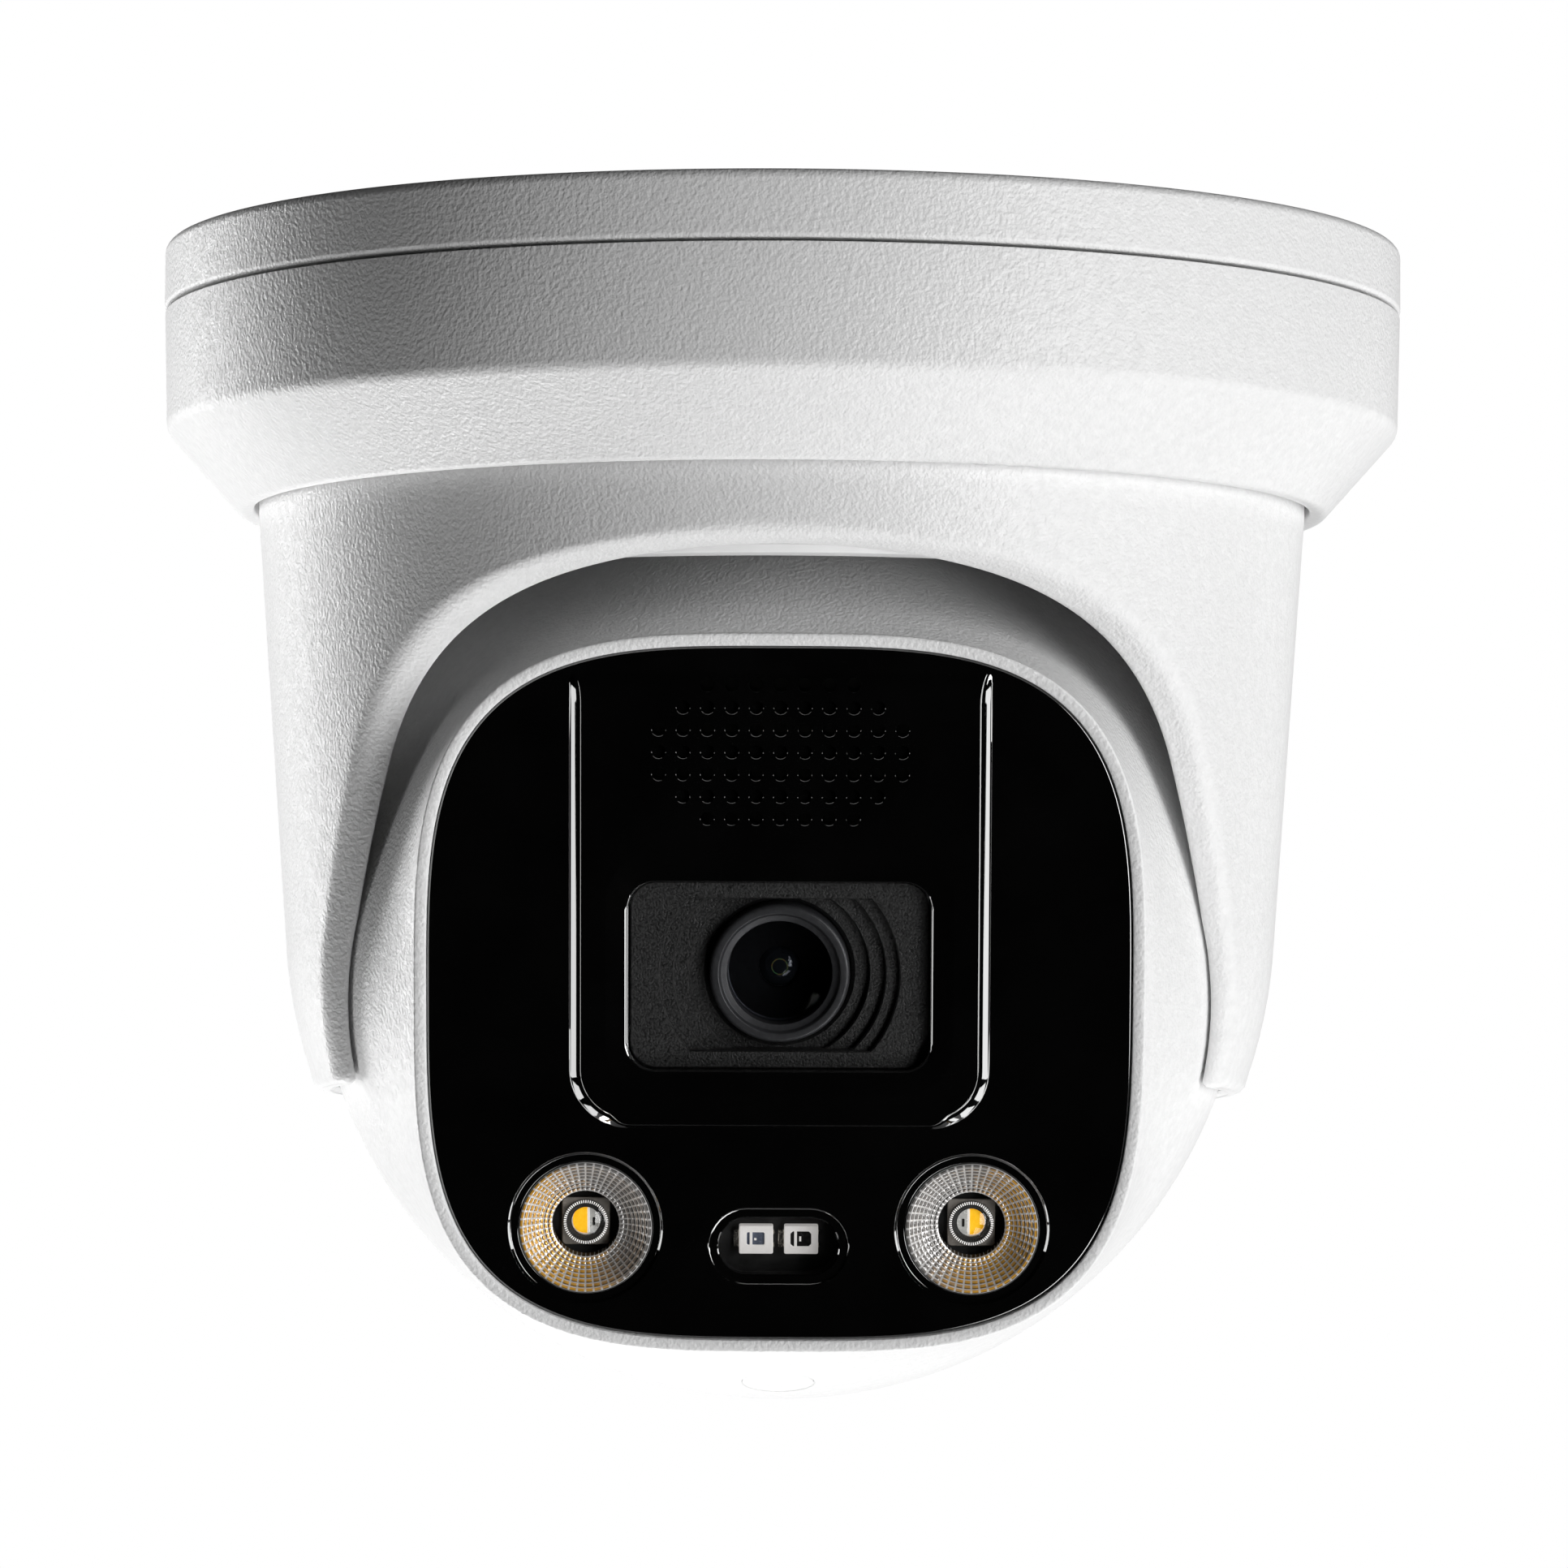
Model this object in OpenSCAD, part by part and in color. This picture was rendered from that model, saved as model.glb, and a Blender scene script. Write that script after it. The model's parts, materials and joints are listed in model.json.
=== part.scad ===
// Ceiling turret camera: a round ceiling base, a twist-on trim ring, a panning hood
// with two arms, and a ball head that tilts and rolls between the arms.
// Millimetres. Origin at the centre of the ceiling face, +Z up, the lens looks along -Y.

/* [Base and trim ring] */
// Outer diameter of the ceiling base and the trim ring
base_d = 138.3; // [134:0.1:166]
// Height of the base's visible rim
rim_h = 7.4; // [6:0.1:9]
// Thickness of the base's ceiling plate
plate_t = 3; // [2.4:0.1:4]
// Open seam between the base and the trim ring
seam_gap = 0.35; // [0.3:0.05:0.5]
// Height of the trim ring's upright side
trim_side_h = 12.95; // [12:0.05:15.6]
// Height of the trim ring's slanted underside
trim_slant_h = 8; // [7:0.1:9.6]
// Draft of the trim ring's side, per side
trim_draft = 0.35; // [0:0.05:0.8]
// Wall of the trim ring
trim_wall = 3.1; // [2.6:0.1:3.7]
// Radius of the trim ring's rounded inner lip
lip_round = 1.3; // [1:0.1:1.6]
// Open gap between the trim ring and the hood
hood_gap = 0.55; // [0.4:0.05:0.8]
// Diameter of the cable hole
cable_hole_d = 22; // [18:1:26]
// Diameter of the circle through the ceiling screw holes
screw_circle_d = 88; // [80:1:92]
// Diameter of each ceiling screw hole
screw_hole_d = 4.6; // [4:0.1:5.4]

/* [Hood] */
// Diameter of the hood just under the trim ring
hood_top_d = 116.9; // [112:0.1:117]
// Diameter of the hood at the height of the ball's centre
hood_low_d = 110.1; // [109.6:0.1:111]
// Depth of the hood below the ball's centre
hood_below = 17.7; // [15:0.1:19]
// Radius of the round at the hood's lower edge
hood_round = 1.6; // [1:0.1:1.8]
// Radius of the arched part of the front opening
arch_r = 41.1; // [38:0.1:43]
// Distance of the arch's centre ahead of the hood's top
arch_ahead = 11.8; // [10:0.1:14]
// Lean of the arms' front edges from upright
arm_lean = 24.3; // [18:0.1:28]
// Clearance between the ball and its seat
seat_gap = 0.35; // [0.3:0.05:0.5]

/* [Ball head] */
// Diameter of the ball
ball_d = 103.8; // [102:0.1:104]
// Distance of the ball's centre below the ceiling
ball_drop = 76.6; // [74:0.1:80]
// Wall of the ball's shells
shell_t = 2.5; // [2:0.1:3]
// Angle of the lens axis below level, at rest
rest_tilt = 14; // [0:1:30]
// Angle that the ball may roll about the lens axis, each way
roll_limit = 6; // [3:1:8]
// Distance of the face's rim from the ball's centre
face_w = 36; // [35:0.1:37]
// Half the width of the face, over its rim
face_half = 39.55; // [38:0.05:40]
// Width of the face's raised rim
rim_w = 1.4; // [1:0.1:2]
// Squareness of the face's outline
face_power = 3.4; // [3:0.1:4]
// Depth of the black panel below the rim
panel_sink = 0.4; // [0.2:0.1:0.8]
// Thickness of the black panel
panel_t = 2.2; // [1.8:0.1:2.6]
// Height of the raised middle of the panel
plateau_h = 0.7; // [0.4:0.1:1]

/* [Lens] */
// Height of the lens above the middle of the face
lens_v = 1.9; // [0:0.1:3]
// Width of the lens window
window_w = 32.6; // [31:0.1:34]
// Height of the lens window
window_h = 20.8; // [20:0.1:22]
// Diameter of the lens barrel
barrel_d = 15.2; // [14:0.1:15.8]
// Diameter of the front glass
glass_d = 11.1; // [10:0.1:11.6]
// Travel of the infrared filter
filter_travel = 6; // [5:0.1:6.2]

/* [Lights and speaker] */
// Diameter of each light's lens
optic_d = 14.4; // [13:0.1:15]
// Distance of each light from the middle of the face, sideways
optic_u = 20.95; // [19:0.05:22]
// Distance of each light below the middle of the face
optic_v = 25.8; // [24:0.1:27]
// Width of the alarm light's window
alarm_w = 13.1; // [12:0.1:14]
// Height of the alarm light's window
alarm_h = 6.3; // [5.6:0.1:7]
// Distance of the alarm light below the middle of the face
alarm_v = 27.8; // [27:0.1:28.6]
// Diameter of each speaker hole
speaker_hole_d = 1.5; // [1.2:0.1:1.8]
// Distance between speaker holes along a row
speaker_pitch_u = 2.62; // [2.3:0.02:2.7]
// Distance between the rows of speaker holes
speaker_pitch_v = 2.42; // [2.2:0.02:2.5]
// Height of the middle row of speaker holes above the middle of the face
speaker_v = 26.7; // [26:0.1:27.4]

/* [Hidden] */
$fn = 96;
eps = 0.01;
fit = 0.1;
clear = 0.35;
big = 400;

// Base and trim ring
base_r = base_d / 2;
trim_top = -(rim_h + seam_gap);
trim_side_r = base_r - trim_draft;
slant_top = trim_top - trim_side_h;
slant_low = slant_top - trim_slant_h;
hood_top_r = hood_top_d / 2;
trim_in_r = hood_top_r + hood_gap;
trim_inner_wall_r = base_r - trim_wall;
trim_low = slant_low - lip_round;
// The slant runs down to where the rounded lip takes over
lip_c_r = trim_in_r + lip_round;
lip_c_z = trim_low + lip_round;
slant_angle = atan2(trim_slant_h, trim_side_r - lip_c_r);
ledge_share = 0.44;
ledge_z = slant_top - trim_slant_h * ledge_share;
flange_t = 2.6;
flange_w = 3.4;
flange_r = trim_in_r + flange_w;
flange_top = ledge_z + clear + flange_t;
washer_t = 1.4;
washer_bottom = flange_top + clear;
washer_top = washer_bottom + washer_t;
hub_wall = 3.2;
hub_out_r = flange_r + 0.2;
hub_in_r = hub_out_r - hub_wall;
lug_out_r = trim_inner_wall_r - clear;
lug_t = 2;
lug_rise = 4;
lug_z = washer_top + lug_rise;
tab_z = lug_z + lug_t + clear;
lug_half = 14;
tab_half = 12;
lugs = 3;
stop_w = 3;
screw_boss_r = 6;
screw_boss_h = 3;
grommet_lip = 2.5;
grommet_wall = 3.4;
grommet_bore_r = cable_hole_d / 2 - grommet_wall;
set_screw_d = 3;
set_screw_drop = 2.2;
set_screw_z = lug_z - set_screw_drop;

// Hood
hood_low_r = hood_low_d / 2;
ball_r = ball_d / 2;
seat_r = ball_r + seat_gap;
hood_bottom = -(ball_drop + hood_below);
hood_round_r = hood_low_r + 0.1;
cone_below = 2.9;
hood_cone_low = -(ball_drop + cone_below);
round_rise = 5;
hood_round_c = hood_cone_low + round_rise;
hood_wall = 2.8;
arch_c_y = -(hood_top_r + arch_ahead);
arch_c_z = -ball_drop;
arch_crown = ball_drop - sqrt(arch_r * arch_r - arch_ahead * arch_ahead);
foot_extra = 5;
arch_foot_z = hood_bottom - foot_extra;
arch_foot_y = arch_c_y + arch_r / cos(arm_lean) + (arch_c_z - arch_foot_z) * tan(arm_lean);
ring_wall = 1.7;
ring_in_r = 50;
ring_shows = 1.9;
ring_low = -(arch_crown + ring_shows);
ring_flange_t = 1;
ring_screw_d = 1.8;
ring_screw_r = hood_top_r - 1.7;
ring_screw_l = 7;
ring_screws = 3;
pad_low = 13;
pad_high = 29;
pad_angle = 28;
pad_at = 38;

// Ball head
panel_w = face_w - panel_sink;
panel_back = panel_w - panel_t;
panel_half = face_half - rim_w;
split_w = 4;
cavity_r = ball_r - shell_t;
rear_flat = 46;
ledge_w = 3.1;
opening_half = panel_half - ledge_w;
hull_fn = 48;
screw_uv = 31;
shell_screw_d = 2.5;
shell_head_d = 4.6;
shell_head_h = 2.2;
shell_floor = -19;
shell_screw_tip = 12;
boss_r = 3.6;
seal_r = ball_r - shell_t / 2;
seal_w = 0.9;
seal_low = split_w - 0.95;
panel_seal_in = opening_half + 0.9;
panel_seal_out = opening_half + 2.1;
panel_seal_t = 0.6;
gland_r = 6;
cable_r = 2.7;
twist_in_r = gland_r + 3;
twist_out_r = twist_in_r + 4;
twist_t = 2.2;
twist_gap = 0.4;
peg_at = (twist_in_r + twist_out_r) / 2;
peg_r = 0.9;
slot_half = roll_limit + 8;
post_at = 41.5;
post_r = 3;
post_top = 24;
plug_polar = 62;
plug_r = 3.9;
plug_sink = 0.4;
plug_l = 4.2;
plug_low = ball_r - plug_sink - plug_l;
tube_wall = 1.6;
tube_r = plug_r + tube_wall;
tube_l = 14;
tube_low = ball_r - tube_l;
switch_low = tube_low + 0.5;
switch_t = 3;
button_r = 2;
button_t = 2.6;
button_travel = 0.4;

// Panel
plateau_half = 22.2;
plateau_low = -14.2;
plateau_round = 6.5;
window_round = 3;
recess_side = 2.5;
recess_t = 0.35;
recess_round = 5;
pane_t = 1.2;
rows = [7, 9, 11, 11, 11, 9, 7];
blind_t = 0.5;
alarm_rim = 1;

// Lens
bezel_front = panel_w - pane_t - fit;
bezel_t = 4;
step_r = [12.95, 11.45, 9.7];
step_h = 0.8;
step_flat = 8.4;
barrel_r = barrel_d / 2;
barrel_front = bezel_front - 0.9;
barrel_flange = 9.6;
thread_r = 6;
glass_r = glass_d / 2;
glass_dome_r = 11;
inner_r = 2.3;
holder_top = 16;
holder_low = 8;
holder_w = 25;
holder_h = 17;
holder_wall = 1.6;
holder_roof = 3;
sensor_w = 8;
sensor_h = 6.6;
sensor_t = 1.2;
board_t = 1.6;
sensor_board_size = 38;
spacer_at = 16.5;
spacer_r = 2.2;
spacer_l = 12.8;
board_screw_d = 1.6;
board_head_d = 3.4;
board_head_h = 1.1;
main_top = holder_low - board_t - spacer_l;
main_r = 45.5;
filter_t = 0.8;
filter_low = holder_low + sensor_t + 1;
frame_w = 14.2;
frame_h = 9.4;
glass_t = 0.8;
filter_glass_w = 5.2;
coil_w = 7;

// Lights
led_depth = 4.6;
led_top = panel_w - led_depth;
led_board_t = 1.4;
led_board_low = -33.6;
led_board_high = -16.8;
led_size = 3.4;
led_t = 0.7;
optic_r = optic_d / 2;
optic_front = panel_w - 0.1;
optic_rim = 1.1;
optic_open_r = 3.65;
optic_lens_r = 2.6;
optic_open_t = 2.2;
spreader_t = 2;
alarm_led_w = 3.7;
alarm_led_h = 3.15;
alarm_led_t = 1.1;
alarm_led_u = 2.45;
led_screw_u = 10.5;
led_screw_v = -20;
speaker_w = 30;
speaker_h = 16;
speaker_t = 6;
speaker_top = panel_back - 1;
mesh_t = 0.4;

// ---------- shared shapes ----------

// A point on a circle, for outlines that are turned or extruded
function arc(c, r, a0, a1, n) =
    [for (i = [0:n]) c + r * [cos(a0 + (a1 - a0) * i / n), sin(a0 + (a1 - a0) * i / n)]];

// One coordinate of a superellipse with half size 1
function super(x) = sign(x) * pow(abs(x), 2 / face_power);

module squircle(half) {
    polygon([for (i = [0:119]) half * [super(cos(i * 3)), super(sin(i * 3))]]);
}

module rounded_box(w, h, r) {
    union() {
        square([w - 2 * r, h], center = true);
        square([w, h - 2 * r], center = true);
        for (x = [-1, 1], y = [-1, 1])
            translate([x * (w / 2 - r), y * (h / 2 - r)])
                circle(r);
    }
}

module tube(r_out, r_in, z0, z1) {
    translate([0, 0, z0])
        difference() {
            cylinder(r = r_out, h = z1 - z0);
            translate([0, 0, -1])
                cylinder(r = r_in, h = z1 - z0 + 2);
        }
}

// A ring sector between two radii and two heights, centred on an angle
module sector(r_out, r_in, z0, z1, mid, half) {
    rotate([0, 0, mid - half])
        rotate_extrude(angle = 2 * half)
            polygon([[r_in, z0], [r_out, z0], [r_out, z1], [r_in, z1]]);
}

// The ball's own frame: x to the right, y up the face, z out along the lens axis
module ball_frame() {
    translate([0, 0, -ball_drop])
        rotate([90 + rest_tilt, 0, 0])
            children();
}

module on_lens() {
    translate([0, lens_v, 0])
        children();
}

// The service plug's frame: z runs out through the shell under the face
module plug_frame() {
    rotate([plug_polar, 0, 0])
        children();
}

module slab(size, z0, z1) {
    translate([-size, -size, z0])
        cube([2 * size, 2 * size, z1 - z0]);
}

// ---------- base ----------

module mounting_base() {
    color("white")
        difference() {
            union() {
                rotate_extrude()
                    polygon(concat(
                        [[0, 0], [base_r - 1, 0]],
                        arc([base_r - 1, -1], 1, 75, 0, 4),
                        [[base_r, -rim_h + 0.3], [base_r - 0.3, -rim_h],
                         [trim_inner_wall_r, -rim_h], [trim_inner_wall_r, -plate_t],
                         [hub_out_r, -plate_t], [hub_out_r, washer_top],
                         [hub_in_r, washer_top], [hub_in_r, -plate_t], [0, -plate_t]]));
                for (i = [0:lugs - 1]) {
                    sector(lug_out_r, hub_out_r - 1, lug_z, lug_z + lug_t, 90 + i * 360 / lugs, lug_half);
                    sector(lug_out_r - 0.2, hub_out_r - 1.2, lug_z - 0.5, -plate_t + 1,
                        90 + i * 360 / lugs + lug_half + stop_w / 2 - 0.2, stop_w / 2 + 0.2);
                }
                for (i = [0:2])
                    rotate([0, 0, 30 + i * 120])
                        translate([screw_circle_d / 2, 0, -plate_t - screw_boss_h])
                            cylinder(r = screw_boss_r, h = screw_boss_h + 1);
            }
            translate([0, 0, -plate_t - 1])
                cylinder(d = cable_hole_d, h = plate_t + 2);
            for (i = [0:2])
                rotate([0, 0, 30 + i * 120])
                    translate([screw_circle_d / 2, 0, -big / 2])
                        cylinder(d = screw_hole_d, h = big);
        }
}

module cable_grommet() {
    color("dimgray")
        rotate_extrude()
            polygon([[grommet_bore_r, -0.4], [cable_hole_d / 2 - fit, -0.4],
                [cable_hole_d / 2 - fit, -plate_t - fit],
                [cable_hole_d / 2 + grommet_lip, -plate_t - fit],
                [cable_hole_d / 2 + grommet_lip, -plate_t - 2],
                [grommet_bore_r, -plate_t - 2.6]]);
}

module pan_washer() {
    color("ivory")
        tube(hub_out_r - 0.2, hub_in_r + 0.2, washer_bottom, washer_top);
}

// ---------- trim ring ----------

module trim_ring() {
    color("white")
        difference() {
            union() {
                rotate_extrude()
                    polygon(concat(
                        [[base_r - 0.3, trim_top], [base_r - 0.05, trim_top - 0.3],
                         [trim_side_r, slant_top]],
                        arc([lip_c_r, lip_c_z], lip_round, slant_angle - 90, -180, 6),
                        [[trim_in_r, ledge_z], [flange_r + clear, ledge_z],
                         [flange_r + clear, flange_top - 0.4],
                         [trim_inner_wall_r, flange_top + 2.6],
                         [trim_inner_wall_r, trim_top]]));
                for (i = [0:lugs - 1])
                    sector(trim_inner_wall_r + 1, hub_out_r + clear, tab_z, tab_z + lug_t,
                        90 + i * 360 / lugs, tab_half);
            }
            translate([0, 0, set_screw_z])
                rotate([-90, 0, 0])
                    cylinder(d = set_screw_d + fit, h = big);
        }
}

module trim_set_screw() {
    color("silver")
        translate([0, 0, set_screw_z])
            rotate([-90, 0, 0])
                difference() {
                    translate([0, 0, hub_out_r + 0.6])
                        cylinder(d = set_screw_d, h = base_r - hub_out_r - 1.4);
                    translate([0, 0, base_r - 2.3])
                        cylinder(d = 1.5, h = 3, $fn = 6);
                }
}

// ---------- hood ----------

function wall_r(z) = seat_r + (hood_top_r - hood_wall - seat_r)
    * (z + ball_drop) / (ball_drop + flange_top);
function hood_round_at(z) = sqrt(hood_round_r * hood_round_r - pow(z - hood_round_c, 2));

module hood_outline() {
    low_a0 = asin((hood_cone_low - hood_round_c) / hood_round_r);
    low_a1 = asin((hood_bottom + hood_round - hood_round_c) / hood_round_r);
    edge_r = hood_round_at(hood_bottom + hood_round) - hood_round;
    seat_a = asin((hood_bottom + ball_drop + 0.5) / seat_r);
    polygon(concat(
        [[wall_r(flange_top), flange_top], [flange_r, flange_top],
         [flange_r, flange_top - flange_t], [hood_top_r, flange_top - flange_t],
         [hood_top_r, trim_low]],
        arc([0, hood_round_c], hood_round_r, low_a0, low_a1, 8),
        arc([edge_r, hood_bottom + hood_round], hood_round, -10, -90, 5),
        [[seat_r * cos(seat_a) + 0.5, hood_bottom]],
        arc([0, -ball_drop], seat_r, seat_a, 0, 10)));
}

// The front opening, seen from the side: an arch that runs into two leaning lines
module arch_cut() {
    rotate([90, 0, 90])
        linear_extrude(height = big, center = true)
            polygon(concat(
                arc([arch_c_y, arch_c_z], arch_r, 90, arm_lean, 20),
                [[arch_foot_y, arch_foot_z], [-big / 2, arch_foot_z], [-big / 2, arch_c_z + arch_r]]));
}

module hood_shell() {
    color("white")
        difference() {
            rotate_extrude()
                hood_outline();
            arch_cut();
            translate([0, 0, flange_top - ring_flange_t - fit])
                cylinder(r = hood_top_r + 1.5, h = 5);
            for (i = [0:ring_screws - 1])
                rotate([0, 0, 90 + i * 360 / ring_screws])
                    translate([ring_screw_r, 0, flange_top - ring_screw_l])
                        cylinder(d = ring_screw_d, h = ring_screw_l + 1);
        }
}

module clamp_ring() {
    top = flange_top - fit;
    under = top - ring_flange_t;
    color("whitesmoke")
        difference() {
            rotate_extrude()
                polygon(concat(
                    [[wall_r(top) - ring_wall, top], [hood_top_r + 1.4, top], [hood_top_r + 1.4, under],
                     [wall_r(under) - fit, under], [wall_r(ring_low + 0.8) - fit, ring_low + 0.8]],
                    arc([ring_in_r + 0.6, ring_low + 0.6], 0.6, -90, -180, 3),
                    [[ring_in_r, ring_low + 1.4], [wall_r(ring_low + 6) - ring_wall, ring_low + 5.4]]));
            for (i = [0:ring_screws - 1])
                rotate([0, 0, 90 + i * 360 / ring_screws])
                    translate([ring_screw_r, 0, under - 1])
                        cylinder(d = ring_screw_d + 2 * fit, h = 4);
        }
}

module clamp_ring_screws() {
    color("silver")
        for (i = [0:ring_screws - 1])
            rotate([0, 0, 90 + i * 360 / ring_screws])
                translate([ring_screw_r, 0, flange_top - fit - ring_flange_t - 4.5])
                    cylinder(d = ring_screw_d - fit, h = 4.5 + ring_flange_t);
}

module friction_pad(side) {
    mid = 90 + side * pad_at;
    a0 = asin(pad_low / seat_r);
    a1 = asin(pad_high / seat_r);
    z0 = -ball_drop + pad_low;
    z1 = -ball_drop + pad_high;
    color("darkslategray")
        rotate([0, 0, mid - pad_angle / 2])
            rotate_extrude(angle = pad_angle)
                polygon(concat(
                    arc([0, -ball_drop], seat_r + 0.02, a0, a1, 6),
                    [[wall_r(z1), z1], [wall_r(z0), z0]]));
}

module friction_pad_left() {
    friction_pad(1);
}

module friction_pad_right() {
    friction_pad(-1);
}

// ---------- ball shells ----------

module anti_twist_ring() {
    w0 = -rear_flat - twist_gap - twist_t;
    color("gray")
        ball_frame()
            difference() {
                tube(twist_out_r, twist_in_r, w0, w0 + twist_t);
                sector(peg_at + peg_r + 0.5, peg_at - peg_r - 0.5, w0 + 1, w0 + 4, -90, slot_half);
            }
}

module head_outer() {
    hull() {
        rotate([0, 90, 0])
            sphere(r = ball_r, $fn = hull_fn);
        translate([0, 0, face_w - 1])
            linear_extrude(height = 1)
                squircle(face_half);
    }
}

module plug_tube() {
    plug_frame()
        translate([0, 0, tube_low])
            cylinder(r = tube_r, h = ball_r - shell_t / 2 - tube_low);
}

module front_shell() {
    color("white")
        ball_frame()
            difference() {
                union() {
                    difference() {
                        head_outer();
                        sphere(r = cavity_r);
                        slab(big / 2, -big / 2, split_w);
                        translate([0, 0, split_w])
                            linear_extrude(height = panel_back - split_w)
                                squircle(opening_half);
                    }
                    for (x = [-1, 1], y = [-1, 1])
                        translate([x * screw_uv, y * screw_uv, split_w])
                            cylinder(r = boss_r, h = post_top - split_w);
                    for (x = [-1, 1])
                        translate([x * post_at, 0, main_top])
                            cylinder(r = post_r, h = post_top - main_top);
                    plug_tube();
                }
                translate([0, 0, panel_back])
                    linear_extrude(height = big / 4)
                        squircle(panel_half);
                translate([0, 0, panel_back - panel_seal_t - 0.05])
                    linear_extrude(height = 2)
                        difference() {
                            squircle(panel_seal_out);
                            squircle(panel_seal_in);
                        }
                for (x = [-1, 1], y = [-1, 1])
                    translate([x * screw_uv, y * screw_uv, split_w - 1])
                        cylinder(d = shell_screw_d, h = shell_screw_tip - split_w + 2);
                for (x = [-1, 1])
                    translate([x * post_at, 0, main_top - 1])
                        cylinder(d = board_screw_d, h = 7);
                plug_frame()
                    translate([0, 0, tube_low - 1])
                        cylinder(r = plug_r + fit / 2, h = big / 4);
            }
}

module rear_shell() {
    color("white")
        ball_frame()
            difference() {
                union() {
                    difference() {
                        sphere(r = ball_r);
                        difference() {
                            sphere(r = cavity_r);
                            slab(big / 2, -big / 2, -rear_flat + shell_t);
                        }
                        slab(big / 2, split_w, big / 2);
                        slab(big / 2, -big / 2, -rear_flat);
                    }
                    intersection() {
                        for (x = [-1, 1], y = [-1, 1])
                            translate([x * screw_uv, y * screw_uv, -ball_r])
                                cylinder(r = boss_r, h = ball_r + split_w);
                        sphere(r = ball_r - shell_t / 2);
                    }
                    translate([0, -peg_at, -rear_flat - twist_gap - twist_t + 1.6])
                        cylinder(r = peg_r, h = 3);
                }
                for (x = [-1, 1], y = [-1, 1])
                    translate([x * screw_uv, y * screw_uv, 0]) {
                        translate([0, 0, -ball_r])
                            cylinder(d = shell_head_d + 2 * fit, h = ball_r + shell_floor);
                        translate([0, 0, -ball_r])
                            cylinder(d = shell_screw_d + 2 * fit, h = 2 * ball_r);
                    }
                translate([0, 0, -rear_flat - 1])
                    cylinder(r = gland_r, h = shell_t + 2);
                tube(seal_r + seal_w / 2 + 0.05, seal_r - seal_w / 2 - 0.05, seal_low - 0.05, split_w + 1);
            }
}

module shell_seal() {
    color("dimgray")
        ball_frame()
            tube(seal_r + seal_w / 2, seal_r - seal_w / 2, seal_low, split_w - 0.02);
}

module shell_screws() {
    color("silver")
        ball_frame()
            for (x = [-1, 1], y = [-1, 1])
                translate([x * screw_uv, y * screw_uv, 0])
                    difference() {
                        union() {
                            translate([0, 0, shell_floor - shell_head_h])
                                cylinder(d = shell_head_d, h = shell_head_h);
                            translate([0, 0, shell_floor - 1])
                                cylinder(d = shell_screw_d - fit, h = shell_screw_tip - shell_floor);
                        }
                        translate([0, 0, shell_floor - shell_head_h - 1])
                            cylinder(d = 1.8, h = 2.2, $fn = 6);
                    }
}

module cable_gland() {
    color("dimgray")
        ball_frame()
            rotate_extrude()
                polygon([[cable_r, -rear_flat - 2], [gland_r - 1, -rear_flat - 2],
                    [gland_r + 1.6, -rear_flat - 0.05], [gland_r - fit, -rear_flat - 0.05],
                    [gland_r - fit, -rear_flat + shell_t + 0.05],
                    [gland_r + 1.2, -rear_flat + shell_t + 0.05],
                    [gland_r + 1.2, -rear_flat + shell_t + 1.6], [cable_r, -rear_flat + shell_t + 1.6]]);
}

// ---------- face ----------

module speaker_holes(first, z0, h) {
    for (r = [first:2:len(rows) - 1], c = [0:rows[r] - 1])
        translate([(c - (rows[r] - 1) / 2) * speaker_pitch_u,
            speaker_v + (r - (len(rows) - 1) / 2) * speaker_pitch_v, z0])
            cylinder(d = speaker_hole_d, h = h, $fn = 16);
}

module front_panel() {
    color([0.03, 0.03, 0.035])
        ball_frame()
            difference() {
                union() {
                    translate([0, 0, panel_back])
                        linear_extrude(height = panel_t)
                            squircle(panel_half - fit / 2);
                    translate([0, 0, panel_back])
                        linear_extrude(height = panel_t + plateau_h)
                            intersection() {
                                translate([0, (plateau_low + panel_half + 5) / 2])
                                    rounded_box(2 * plateau_half, panel_half + 5 - plateau_low, plateau_round);
                                squircle(panel_half - 1.4);
                            }
                }
                on_lens()
                    translate([0, 0, panel_w + plateau_h - recess_t])
                        linear_extrude(height = 5)
                            rounded_box(window_w + 2 * recess_side, window_h + 2 * recess_side, recess_round);
                on_lens()
                    translate([0, 0, panel_back - 1])
                        linear_extrude(height = 9)
                            rounded_box(window_w, window_h, window_round);
                for (x = [-1, 1])
                    translate([x * optic_u, -optic_v, panel_back - 1])
                        cylinder(r = optic_r + fit, h = 9);
                translate([0, -alarm_v, panel_back - 1])
                    linear_extrude(height = 9)
                        rounded_box(alarm_w, alarm_h, alarm_h / 2 - eps);
                translate([0, -alarm_v, panel_w - 0.3])
                    linear_extrude(height = 9)
                        rounded_box(alarm_w + 2 * alarm_rim, alarm_h + 2 * alarm_rim, alarm_h / 2 + alarm_rim - eps);
                speaker_holes(0, panel_back - 1, 9);
                speaker_holes(1, panel_w + plateau_h - blind_t, 9);
            }
}

module panel_seal() {
    color("dimgray")
        ball_frame()
            translate([0, 0, panel_back - panel_seal_t])
                linear_extrude(height = panel_seal_t - 0.02)
                    difference() {
                        squircle(panel_seal_out - fit / 2);
                        squircle(panel_seal_in + fit / 2);
                    }
}

module lens_window() {
    color([0.75, 0.8, 0.85, 0.35])
        ball_frame()
            on_lens()
                translate([0, 0, panel_w + plateau_h - recess_t - pane_t - 0.1])
                    linear_extrude(height = pane_t)
                        rounded_box(window_w - fit, window_h - fit, window_round);
}

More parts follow.
